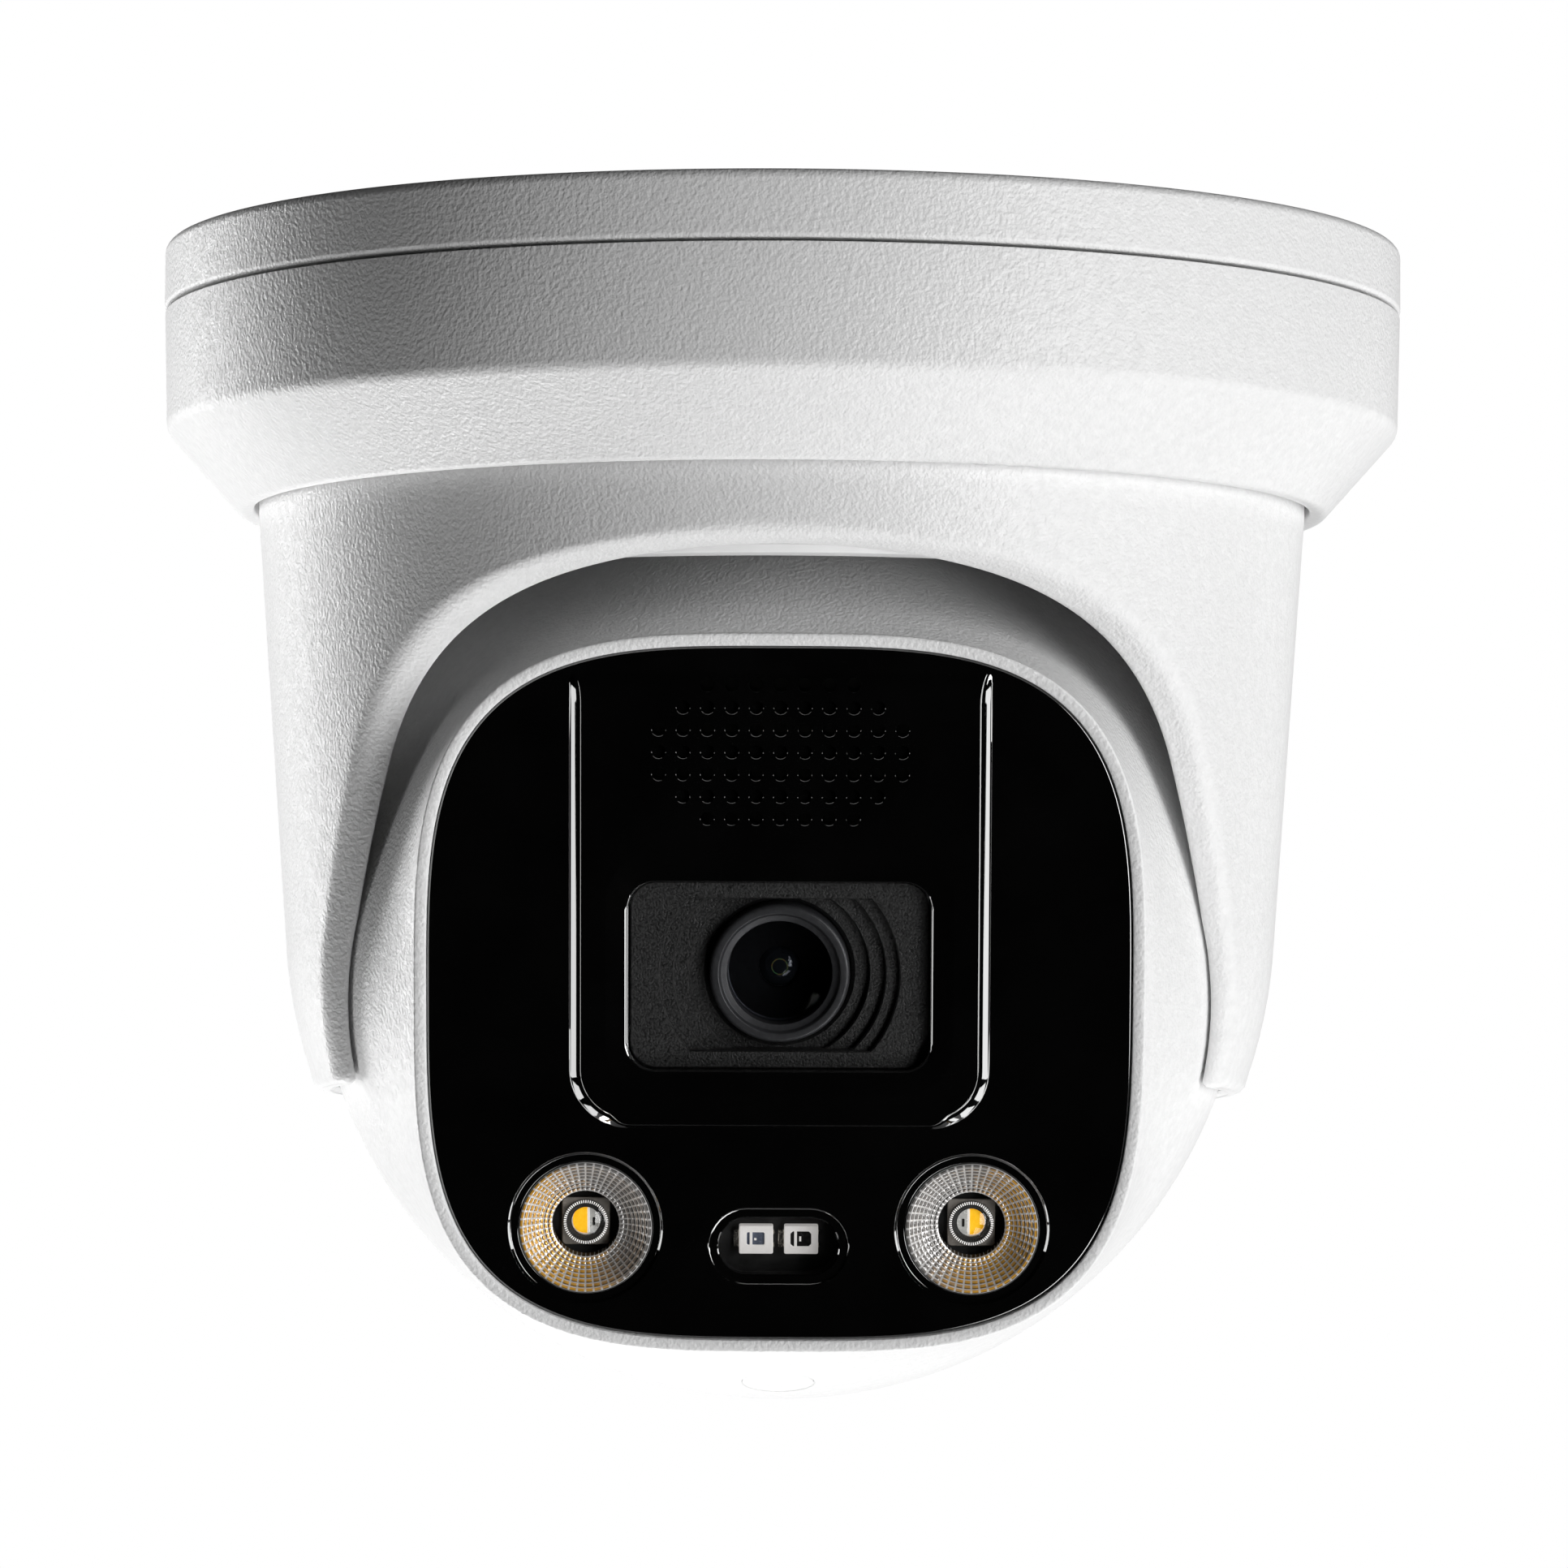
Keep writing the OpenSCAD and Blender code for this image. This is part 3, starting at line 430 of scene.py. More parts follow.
aluminium = finish("aluminium", (0.70, 0.70, 0.72), (0.78, 0.78, 0.79), (0.3, 0.45), 0.5, (0.008, 0.2),
                   metal=1.0, stretch=(1, 8, 1))
brass = finish("brass", (0.70, 0.50, 0.20), (0.78, 0.58, 0.26), (0.22, 0.36), 0.5, (0.004, 0.2), metal=1.0)
board = finish("circuit_board", (0.006, 0.055, 0.025), (0.012, 0.085, 0.040), (0.25, 0.4), 0.7,
               (0.02, 0.4))
copper = finish("copper", (0.45, 0.17, 0.06), (0.58, 0.25, 0.10), (0.25, 0.4), 0.3, (0.05, 0.2),
                metal=1.0, stretch=(0.3, 6, 6))
# Painted glow: the three LED finishes below have an emission, though the LEDs are not lit, so that they look
# as bright as under the lamps.
phosphor_glow = finish("phosphor_glow", (0.95, 0.52, 0.01), (1.0, 0.62, 0.03), (0.35, 0.5), 0.4, (0.01, 0.1),
                  Emission_Color=(1.0, 0.50, 0.01, 1), Emission_Strength=0.55)
# Painted glow on the white LED bodies, their dies, bars and the ridges round the small lenses.
package_glow = finish("led_package", (0.84, 0.82, 0.80), (0.90, 0.88, 0.86), (0.35, 0.5), 0.5, (0.01, 0.15),
                 Emission_Color=(1.0, 0.97, 0.94, 1), Emission_Strength=0.36)
# Painted glow on the bare metal half and tray of the light LEDs.
silver_glow = finish("led_silver_glow", 0.62, 0.80, (0.15, 0.3), 0.3, (0.02, 0.3), metal=0.5,
                Emission_Color=(0.8, 0.8, 0.78, 1), Emission_Strength=0.25)
pads = finish("solder_pads", (0.62, 0.60, 0.56), (0.78, 0.74, 0.66), (0.12, 0.3), 0.2, (0.05, 0.3),
              metal=0.9)
holder_grey = finish("light_holder", (0.17, 0.16, 0.145), (0.23, 0.21, 0.19), (0.15, 0.3), 0.8,
                     (0.01, 0.4))
chip_blue = finish("chip_blue", (0.16, 0.19, 0.27), (0.22, 0.25, 0.33), (0.15, 0.3), 0.4, (0.004, 0.1),
                   metal=0.3)
chip_dark = finish("chip_dark", (0.016, 0.015, 0.015), (0.03, 0.028, 0.028), (0.15, 0.3), 0.4,
                   (0.004, 0.1))
# Painted reflection: an amber to green ring at the middle of the inner lens stands in for the reflection in
# its coating.
coating_reflection = finish("painted_coating_reflection", (0.24, 0.12, 0.04), (0.04, 0.20, 0.08), (0.05, 0.15), 0.7, (0.01, 0.4))
# Painted reflection: a thin lighter ring at the rim of the inner lens stands in for the side lights
# reflected there.
edge_reflection = finish("painted_edge_reflection", (0.10, 0.10, 0.11), (0.45, 0.45, 0.48), (0.05, 0.2), 0.8, (0.01, 0.4))
filter_red = finish("infrared_glass", (0.28, 0.02, 0.05), (0.34, 0.03, 0.06), (0.03, 0.06), 2.0)
glass_dark = finish("dark_glass", (0.010, 0.012, 0.014), (0.014, 0.016, 0.018), (0.02, 0.04), 2.0)
pane = clear("clear_pane", (0.93, 0.93, 0.93), gloss=0.35)
coated = clear("coated_glass", (0.86, 0.87, 0.90), gloss=0.1)
clear_plastic = clear("clear_plastic", (0.97, 0.97, 0.96), gloss=0.9)


# ---------- base and trim ring ----------

slant_top = trim_top - trim_side_h
slant_low = slant_top - trim_slant_h
trim_in_r = hood_top_r + hood_gap
trim_side_r = base_r - trim_draft
inner_wall_r = base_r - 3.1
ledge_z = slant_top - trim_slant_h * 0.44
washer_bottom = flange_top + 0.35
washer_top = washer_bottom + 1.4
hub_out_r = flange_r + 0.2
hub_in_r = hub_out_r - 3.2
lug_z = washer_top + 4


def make_base():
    body = Shape().turned(outline([
        (0, 0, 0), (base_r, 0, 1.1), (base_r, -rim_h, 0.6), (inner_wall_r, -rim_h, 0.3),
        (inner_wall_r, -plate_t, 0.6), (hub_out_r, -plate_t, 0.6), (hub_out_r, washer_top, 0.3),
        (hub_in_r, washer_top, 0.3), (hub_in_r, -plate_t, 0.6), (0, -plate_t, 0)]), steps=256)
    for i in range(3):
        lug = 90 + 120 * i
        body.sector(inner_wall_r - 0.35, hub_out_r - 1, lug_z, lug_z + 2, lug, 14)
        body.sector(inner_wall_r - 0.5, hub_out_r - 1, lug_z, -plate_t + 1, lug + 15.5, 1.5)
    made = body.object("base_body")
    tool = Shape()
    tool.turned(bore_section(inlet_r, 2, -plate_t - 2), steps=64)
    screws = [Matrix.Translation((*circle_point(screw_circle_r, 30 + 120 * i), 0)) for i in range(3)]
    for place in screws:
        tool.turned(bore_section(screw_r, 2, -plate_t - 2), place, 32)
    combine(made, tool.object("hole_tool"))
    for place in screws:
        boss = Shape().turned(outline([
            (screw_r, -plate_t + 1, 0), (boss_r, -plate_t + 1, 0), (boss_r, -plate_t - 3, 0.5),
            (screw_r, -plate_t - 3, 0.3)]), place, 48).object("boss_tool")
        combine(made, boss, "UNION")
    piece(made, "base", powder, "white_housing", "mounting_base", flat=True)


def make_trim():
    lip = trim_low
    body = Shape().turned(outline([
        (base_r - 0.05, trim_top, 0.12), (trim_side_r, slant_top, 2.2),
        (trim_in_r + lip_round * 1.2, lip, lip_round * 0.9), (trim_in_r, lip + 0.35, lip_round * 0.4),
        (trim_in_r, ledge_z, 0), (flange_r + 0.35, ledge_z, 0), (flange_r + 0.35, flange_top - 0.4, 0),
        (inner_wall_r, flange_top + 2.6, 0), (inner_wall_r, trim_top, 0.3)], 10), steps=288)
    for i in range(3):
        body.sector(inner_wall_r + 1, hub_out_r + 0.35, lug_z + 2.35, lug_z + 4.35, 90 + 120 * i, 12)
    made = body.object("trim_body")
    bore = Matrix.Translation((0, 0, lug_z - 2.2)) @ Matrix.Rotation(math.radians(-90), 4, "X")
    tool = Shape().turned(bore_section(1.55, 50, 90), bore, 32)
    combine(made, tool.object("screw_tool"))
    piece(made, "trim", powder, "white_housing", "trim_ring")


# ---------- hood ----------

seat_r = ball_r + seat_gap
round_r = hood_low_r + 0.1
cone_low = -(drop + 2.9)
round_c = cone_low + 5
hood_round = 1.6
arch_y = -(hood_top_r + arch_ahead)
arch_z = -drop
lean = math.radians(arm_lean)


def wall_r(z):
    return seat_r + (hood_top_r - hood_wall - seat_r) * (z + drop) / (drop + flange_top)


def hood_profile():
    """The hood's wall as (radius, height) points 0.2 mm apart: down the outside, then up the inside."""
    def arc(cx, cz, r, a0, a1, n):
        return [(cx + r * math.cos(a0 + (a1 - a0) * i / n), cz + r * math.sin(a0 + (a1 - a0) * i / n))
                for i in range(n + 1)]
    a0 = math.asin((cone_low - round_c) / round_r)
    a1 = math.asin((hood_bottom + hood_round - round_c) / round_r)
    edge = math.sqrt(round_r ** 2 - (hood_bottom + hood_round - round_c) ** 2) - hood_round
    seat = math.asin((hood_bottom + drop + 0.5) / seat_r)
    points = [(hood_top_r, trim_low)] + arc(0, round_c, round_r, a0, a1, 30)
    points += arc(edge, hood_bottom + hood_round, hood_round, math.radians(-10), math.radians(-90), 12)
    points += [(seat_r * math.cos(seat) + 0.5, hood_bottom)] + arc(0, -drop, seat_r, seat, 0, 40)
    points += [(wall_r(trim_low), trim_low)]
    line = np.array(points)
    along = np.concatenate([[0], np.cumsum(np.hypot(*np.diff(line, axis=0).T))])
    at = np.linspace(0, along[-1], int(along[-1] / 0.2))
    return at, np.interp(at, along, line[:, 0]), np.interp(at, along, line[:, 1])


def inside_arch(y, z):
    """How far a point is inside the front opening; negative outside."""
    from_arc = arch_r - np.hypot(y - arch_y, z - arch_z)
    from_line = arch_r - ((y - arch_y) * math.cos(lean) + (z - arch_z) * math.sin(lean))
    steep = np.arctan2(z - arch_z, y - arch_y) < lean
    return np.where(steep, from_line, from_arc)


def even(path, count):
    """An open 3-D path again, as count evenly spaced rows of its columns."""
    path = np.array(path, float)
    along = np.concatenate([[0], np.cumsum(np.linalg.norm(np.diff(path[:, :3], axis=0), axis=1))])
    at = np.linspace(0, along[-1], count)
    return np.stack([np.interp(at, along, path[:, k]) for k in range(path.shape[1])], axis=1)


def steps_from_edge(length, count, first=0.33, most=2.6):
    """Distances from an edge: small steps there, growing to most."""
    grow = 1.0
    for _ in range(60):
        steps = np.minimum(first * grow ** np.arange(count), most)
        if steps.sum() >= length:
            break
        grow += 0.01
    total = np.concatenate([[0], np.cumsum(steps)])
    return total * length / total[-1]


def make_hood():
    at, radius, height = hood_profile()
    bottom = at[np.argmin(height + radius * 1e-4)]

    def on_wall(phi, s):
        r, z = np.interp(s, at, radius), np.interp(s, at, height)
        return np.stack([r * np.sin(phi), -r * np.cos(phi), z], axis=-1)

    # The edge of the opening, as (x, y, z, turn, distance along the wall) on both faces of the wall
    outside, inside = [], []
    phi = 0.0
    fine = np.linspace(0, at[-1], len(at) * 4)
    while True:
        r, z = np.interp(fine, at, radius), np.interp(fine, at, height)
        depth = inside_arch(-r * math.cos(phi), z)
        hit = np.nonzero(depth > 0)[0]
        if len(hit) == 0:
            break
        first, last = hit[0], hit[-1]
        s0 = np.interp(0, [depth[first - 1], depth[first]], [fine[first - 1], fine[first]])
        s1 = np.interp(0, [-depth[last], -depth[last + 1]], [fine[last], fine[last + 1]])
        outside.append([*on_wall(phi, s0), phi, s0])
        inside.append([*on_wall(phi, s1), phi, s1])
        phi += math.radians(0.1)
    foot = [*on_wall(phi, bottom), phi, bottom]
    outside.append(foot)
    inside.append(foot)
    columns = 150
    outside, inside = even(outside, columns), even(inside, columns)

    low_z = -drop - 6
    sides = []
    for edge, top in ((outside, 0.0), (inside, at[-1])):
        level = edge[:, 4]
        low = int(np.argmax(edge[:, 2] < low_z))
        corner = int(columns * 0.62)
        ends = []
        for i in range(columns):
            if i <= corner:
                ends.append((math.pi * (i / corner) ** 1.15, top))
            elif i < low:
                part = (i - corner) / (low - corner)
                ends.append((math.pi, top + (level[low] - top) * part))
            else:
                ends.append((math.pi, level[i]))
        sides.append(ends)

    rows, strip_rows = 84, 12
    grid = []
    for i in range(columns):
        lines = []
        for edge, ends in ((outside[i], sides[0][i]), (inside[i], sides[1][i])):
            turn, s = edge[3], edge[4]
            length = math.hypot((ends[0] - turn) * hood_low_r, ends[1] - s)
            part = steps_from_edge(length, rows) / length
            lines.append(on_wall(turn + (ends[0] - turn) * part, s + (ends[1] - s) * part))
        across = np.linspace(0, 1, strip_rows + 1)[:, None]
        strip = outside[i, :3] * (1 - across) + inside[i, :3] * across
        y, z = strip[:, 1] - arch_y, strip[:, 2] - arch_z
        curved = np.arctan2(z, y) >= lean
        reach = np.hypot(y, z)
        strip[:, 1] = np.where(curved, arch_y + y * arch_r / reach, strip[:, 1])
        strip[:, 2] = np.where(curved, arch_z + z * arch_r / reach, strip[:, 2])
        column = np.concatenate([lines[0][::-1], strip[1:-1], lines[1]])
        grid.append(soften(column, rows, rows + strip_rows))
    verts, faces = [], []
    n = len(grid[0])
    for side in (1, -1):
        start = len(verts)
        verts += [(side * p[0], p[1], p[2]) for column in grid for p in column]
        for i in range(columns - 1):
            for j in range(n - 1):
                a = start + i * n + j
                faces.append([a, a + 1, a + n + 1, a + n])
    body = Shape().add(verts, faces)
    # The band above, up to the flange that hangs in the trim ring
    ends = [e[0] for e in sides[0] if e[1] == 0.0]
    turns = ends + [math.tau - t for t in ends[-2:0:-1]]
    band = outline([(wall_r(trim_low), trim_low, 0), (wall_r(flange_top), flange_top, 0.3),
                    (flange_r, flange_top, 0.4), (flange_r, flange_top - 2.6, 0.3),
                    (hood_top_r, flange_top - 2.6, 0), (hood_top_r, trim_low, 0)])
    rings = [[(r * math.sin(t), -r * math.cos(t), z) for r, z in band] for t in turns]
    body.loft(rings + [rings[0]], caps=False, closed=False)
    made = body.object("hood_body", sharp=50)
    piece(made, "hood", powder, "white_housing", "hood_shell")


def soften(column, outer, inner):
    """Rounds a column of points where it passes the opening's outer edge, and a little at the inner edge."""
    along = np.concatenate([[0], np.cumsum(np.linalg.norm(np.diff(column, axis=0), axis=1))])
    from_outer = np.abs(along - along[outer])
    from_inner = np.abs(along - along[inner])
    width = 1.25 * np.exp(-(from_outer / 3.2) ** 2) + 0.3 * np.exp(-(from_inner / 0.9) ** 2)
    reach = np.linspace(-2.4, 2.4, 17)
    weight = np.exp(-reach ** 2 / 2)
    weight /= weight.sum()
    at = along[:, None] + width[:, None] * reach[None, :]
    moved = np.stack([np.interp(at, along, column[:, k]) @ weight for k in range(3)], axis=1)
    moved[0], moved[-1] = column[0], column[-1]
    return moved


def make_clamp_ring():
    top = flange_top - 0.1
    crown = drop - math.sqrt(arch_r ** 2 - arch_ahead ** 2)
    low = -(crown + 1.9)
    body = Shape().turned(outline([
        (wall_r(top) - 1.7, top, 0.2), (hood_top_r + 1.4, top, 0.2), (hood_top_r + 1.4, top - 1, 0.1),
        (wall_r(top - 1) - 0.1, top - 1, 0), (wall_r(low + 0.8) - 0.1, low + 0.8, 0.1),
        (wall_r(low) - 0.6, low, 0.3), (50, low, 0.6), (50, low + 1.4, 0.3),
        (wall_r(low + 6) - 1.7, low + 5.4, 0.5)]), steps=192)
    piece(body.object("clamp_body"), "hood", smooth_white, "white_plastic", "clamp_ring")


# ---------- ball ----------

def inside_box(made):
    """Draws the lowest part of the ball in to the CAD box, whose faceted ball is a little short of round."""
    start = -drop - 44
    low = box_mm("front_shell")[0].z + 0.02
    for vertex in made.data.vertices:
        z = vertex.co.z / MM
        if z < start:
            vertex.co.z += ((start - z) / (start + drop + ball_r)) ** 2 * (low + drop + ball_r) * MM
    return made


def make_front_shell():
    inner = squircle(panel_half, 288)
    opening = offset(inner, -3.1)
    cavity = ball_r - shell_t
    rings = []
    rings.append(raised(opening, panel_back - 3))
    rings.append(raised(opening, panel_back))
    rings.append(raised(inner, panel_back))
    rings.append(raised(inner, face_w - 0.34))
    rings.append(raised(offset(inner, 0.06), face_w - 0.12))
    rings.append(raised(offset(inner, 0.26), face_w))
    edge_round = 0.3
    for k in range(5):
        a = math.radians(90 - 22.5 * k)
        rings.append(raised(offset(inner, rim_w - edge_round + edge_round * math.cos(a)),
                            face_w - edge_round + edge_round * math.sin(a)))
    rings.append(raised(offset(inner, rim_w), face_w - 0.5))
    rings.append(raised(offset(inner, rim_w - 0.14), face_w - 0.72))
    rim_out = offset(inner, rim_w - 0.01)
    start_w = face_w - 0.6
    rings.append(raised(rim_out, start_w))
    blend = 14
    for k in range(1, blend + 1):
        ring = []
        for u, v in rim_out:
            reach = math.hypot(u, v)
            here = Vector((reach, start_w))
            polar = math.atan2(reach, start_w)
            polar_end = polar + 0.82 * math.acos(min(1.0, ball_r / here.length))
            end = Vector((ball_r * math.sin(polar_end), ball_r * math.cos(polar_end)))
            tangent = Vector((math.cos(polar_end), -math.sin(polar_end)))
            middle = end - tangent * 0.5 * (end - here).length
            t = k / blend
            p = (1 - t) ** 2 * here + 2 * t * (1 - t) * middle + t * t * end
            ring.append((u / reach * p.x, v / reach * p.x, p.y))
        rings.append(ring)
    polar_split = math.acos(split_w / ball_r)
    blended = rings[-1]
    for k in range(1, 17):
        ring = []
        for (u, v), last in zip(rim_out, blended):
            polar = math.atan2(math.hypot(last[0], last[1]), last[2])
            a = polar + (polar_split - polar) * k / 16
            reach = math.hypot(u, v)
            ring.append((u / reach * ball_r * math.sin(a), v / reach * ball_r * math.sin(a),
                         ball_r * math.cos(a)))
        rings.append(ring)
    inner_split = math.sqrt(cavity ** 2 - split_w ** 2)
    last = [(u / math.hypot(u, v), v / math.hypot(u, v)) for u, v in rim_out]
    for k in range(9):
        a0 = math.atan2(inner_split, split_w)
        a1 = math.acos((panel_back - 3) / cavity)
        a = a0 + (a1 - a0) * k / 8
        rings.append([(u * cavity * math.sin(a), v * cavity * math.sin(a), cavity * math.cos(a))
                      for u, v in last])
    rings.append(rings[0])
    made = Shape().loft(rings, BALL, caps=False).object("front_shell_body", sharp=40)
    plug = BALL @ Matrix.Rotation(math.radians(62), 4, "X")
    tool = Shape().turned(outline([
        (0, 40, 0), (3.95, 40, 0), (3.95, ball_r - 0.35, 0.2), (4.3, ball_r + 0.05, 0.2),
        (4.3, ball_r + 1, 0), (0, ball_r + 1, 0)]), plug, 64)
    combine(made, tool.object("plug_tool"), sharp=40)
    inside_box(made)
    piece(made, "head", powder, "white_housing", "front_shell")
    cap = Shape().turned(outline([(0, ball_r - 4.6, 0), (3.92, ball_r - 4.6, 0.2),
                                  (3.92, ball_r - 0.28, 0.12), (0, ball_r - 0.22, 0)]), plug, 64)
    piece(cap.object("service_plug_body"), "head", powder, "white_housing", "service_plug")


def make_rear_shell():
    points = []
    low = -math.acos(rear_flat / ball_r)
    for k in range(49):
        a = math.acos(split_w / ball_r) + (math.pi + low - math.acos(split_w / ball_r)) * k / 48
        points.append((ball_r * math.sin(a), ball_r * math.cos(a)))
    cavity = ball_r - shell_t
    points += [(gland_hole_r, -rear_flat), (gland_hole_r, -rear_flat + shell_t)]
    end = math.acos((rear_flat - shell_t) / cavity)
    for k in range(33):
        a = math.pi - end + (math.acos(split_w / cavity) - math.pi + end) * k / 32
        points.append((cavity * math.sin(a), cavity * math.cos(a)))
    made = Shape().turned(points, BALL, 256).object("rear_shell_body", sharp=40)
    wells = [on_ball(x, y) for x in (-well_at, well_at) for y in (-well_at, well_at)]
    tool = Shape()
    for place in wells:
        tool.turned(bore_section(well_r, -60, -12), place, 32)
    combine(made, tool.object("head_tool"), sharp=40)
    # The outer ends of these tubes stand past the ball: an open fault.
    for place in wells:
        tube = Shape().turned([(well_r, -24), (tube_r, -24), (tube_r, -12), (1.4, -12), (1.4, -19),
                               (well_r, -19)], place, 32)
        combine(made, tube.object("tube_tool"), "UNION", sharp=40)
    inside_box(made)
    piece(made, "head", powder, "white_housing", "rear_shell")


# ---------- face ----------

def make_panel():
    edge = squircle(panel_half - 0.06)
    body = Shape()
    rings = [raised(edge, panel_back), raised(edge, panel_w - 0.35)]
    for k in range(1, 5):
        a = math.radians(22.5 * k)
        rings.append(raised(offset(edge, -0.35 * (1 - math.cos(a))), panel_w - 0.35 + 0.35 * math.sin(a)))
    made = body.loft(rings, BALL).object("panel_body")
    combine(made, plateau_tool(), "UNION")
    combine(made, panel_tool())
    piece(made, "head", panel_black, "black_panel", "front_panel", flat=True)


def plateau_tool():
    """The raised middle of the panel: a U whose wall fades out at its two upper ends."""
    half, low, corner, top, fade = 22.75, -14.75, 6.5, 35.6, 3.7
    path = []
    for k in range(13):
        path.append((half, top - fade * (k / 12) ** 1.5, -1, 0))
    for k in range(1, 9):
        path.append((half, top - fade - (top - fade - low - corner) * k / 8, -1, 0))
    for k in range(1, 17):
        a = math.radians(-90 * k / 16)
        path.append((half - corner + corner * math.cos(a), low + corner + corner * math.sin(a),
                     -math.cos(a), -math.sin(a)))
    path += [(-x, y, -nx, ny) for x, y, nx, ny in reversed(path)]

    def ring(inset, z):
        points = []
        for x, y, nx, ny in path:
            past = max(0.0, (y - top + fade) / fade)
            share = math.sqrt(max(0.0, 1 - past ** 2))
            rise = (1 - min(1.0, past) ** 4) ** 2
            steep = 1 - 0.6 * min(1.0, max(0.0, (ny - 0.94) / 0.06))
            points.append((x + nx * inset * share * steep, y + ny * inset * share * steep,
                           panel_w - 0.05 + (z + 0.05) * rise))
        return points
    step = 0.1
    rings = [[(x, y, panel_w - 0.4) for x, y, nx, ny in path], ring(0, -0.05), ring(0.05, 0.02)]
    for k in range(1, 7):
        t = k / 6
        rings.append(ring(0.05 + 0.75 * t, (plateau_h - step) * t * (1.04 - 0.04 * t)))
    rings.append(ring(1.2, plateau_h - step))
    for k in range(1, 5):
        t = k / 4
        rings.append(ring(1.2 + 0.14 * t, plateau_h - step + step * t * t * (3 - 2 * t)))
    shape = Shape().loft(rings, BALL, caps=False, closed=False)
    n = len(path)
    last = (len(rings) - 1) * n
    for start in (0, last):
        for i in range(n // 2 - 1):
            shape.faces.append([start + i, start + i + 1, start + n - 2 - i, start + n - 1 - i])
    for j in range(len(rings) - 1):
        shape.faces.append([j * n, (j + 1) * n, (j + 2) * n - 1, (j + 1) * n - 1])
    return shape.object("plateau_tool")


def window_rect(grow, radius, grow_v=None):
    up = grow if grow_v is None else grow_v
    return rect(-window_half - grow, window_half + grow, window_low - up, window_high + up, radius)


def panel_tool():
    """All cuts in the panel: the window and its sloped frame, the lights, the alarm light, the speaker."""
    top = panel_w + plateau_h
    tool = Shape()
    frame_top = rect(-18.7, 18.7, -10.7, 15.6, 5.2)
    tool.stack([(window_rect(0, 3), panel_back - 1), (window_rect(0, 3), top - 0.95),
                (window_rect(0.04, 3.04, 0.02), top - 0.82), (window_rect(0.33, 3.2, 0.09), top - 0.57),
                (window_rect(0.44, 3.3, 0.2), top - 0.55), (frame_top, top - 0.02),
                (offset(frame_top, 0.25), top + 0.02), (offset(frame_top, 0.5), top + 1)], BALL)
    for side in (-1, 1):
        place = on_ball(side * optic_u, optic_v)
        tool.turned(outline([
            (0, panel_back - 1, 0), (light_hole_r, panel_back - 1, 0), (light_hole_r, panel_w - 0.3, 0.1),
            (8.1, panel_w - 0.3, 0.12), (8.42, panel_w + 0.02, 0.12), (9.4, panel_w + 0.1, 0),
            (9.4, panel_w + 1, 0), (0, panel_w + 1, 0)]), place, 96)
    inner = rect(-6.55, 6.55, alarm_v - 3.15, alarm_v + 3.15, 3.14)
    tool.stack([(inner, panel_back - 1), (inner, panel_w - 0.42), (offset(inner, 0.12), panel_w - 0.3),
                (offset(inner, 0.8), panel_w - 0.3), (offset(inner, 1.0), panel_w - 0.22),
                (offset(inner, 1.15), panel_w + 0.02), (offset(inner, 1.3), panel_w + 1)], BALL)
    for r, count in enumerate((7, 9, 11, 11, 11, 9, 7)):
        floor = panel_back - 1 if r % 2 == 0 else top - 0.5
        for c in range(count):
            place = on_ball((c - (count - 1) / 2) * speaker_pitch_u, speaker_v + (r - 3) * speaker_pitch_v)
            tool.turned([(0, floor), (speaker_hole_r, floor), (speaker_hole_r, top - 0.03),
                         (speaker_hole_r + 0.04, top + 0.01), (speaker_hole_r + 0.2, top + 1),
                         (0, top + 1)], place, 20)
    return tool.object("panel_tool")


def make_window():
    front = window_front
    edge = window_rect(-0.05, 2.95)
    rings = [raised(edge, front - 1.2), raised(edge, front - 0.12), raised(offset(edge, -0.12), front)]
    made = Shape().loft(rings, BALL).object("window_body")
    piece(made, "head", pane, "clear_plastic", "lens_window", flat=True)


def make_bezel():
    front = window_front - 1.25
    low = 30.1
    place = on_ball(0, lens_v)
    edge = rect(-16.15, 16.15, -10.25, 10.25, 2.8)
    body = Shape().stack([(edge, low), (edge, front - 0.15), (offset(edge, -0.15), front)], place)
    made = body.object("bezel_body")
    tool = Shape()
    flat = 8.4
    rings = []
    for i, radius in enumerate((12.95, 11.45, 9.7)):
        ring = []
        for k in range(96):
            a = math.tau * k / 96
            u, v = radius * math.cos(a), radius * math.sin(a)
            if abs(v) > flat:
                v = math.copysign(flat, v)
            ring.append((u, v))
        z = front - i * 0.8
        if i == 0:
            rings.append(raised([(u * 1.03, v * 1.03) for u, v in ring], front + 1))
        rings.append(raised([(u * 1.012, v * 1.012) for u, v in ring], z + 0.01))
        rings.append(raised(ring, z - 0.16))
        rings.append(raised(ring, z - 0.8))
    rings.append(raised(circle(8.2, 96), front - 2.4))
    rings.append(raised(circle(7.7, 96), front - 3.2))
    rings.append(raised(circle(7.7, 96), low - 1))
    tool.loft(rings[::-1], place)
    combine(made, tool.object("bezel_tool"), sharp=30)
    piece(made, "head", bezel_black, "black_plastic", "lens_bezel", flat=True)


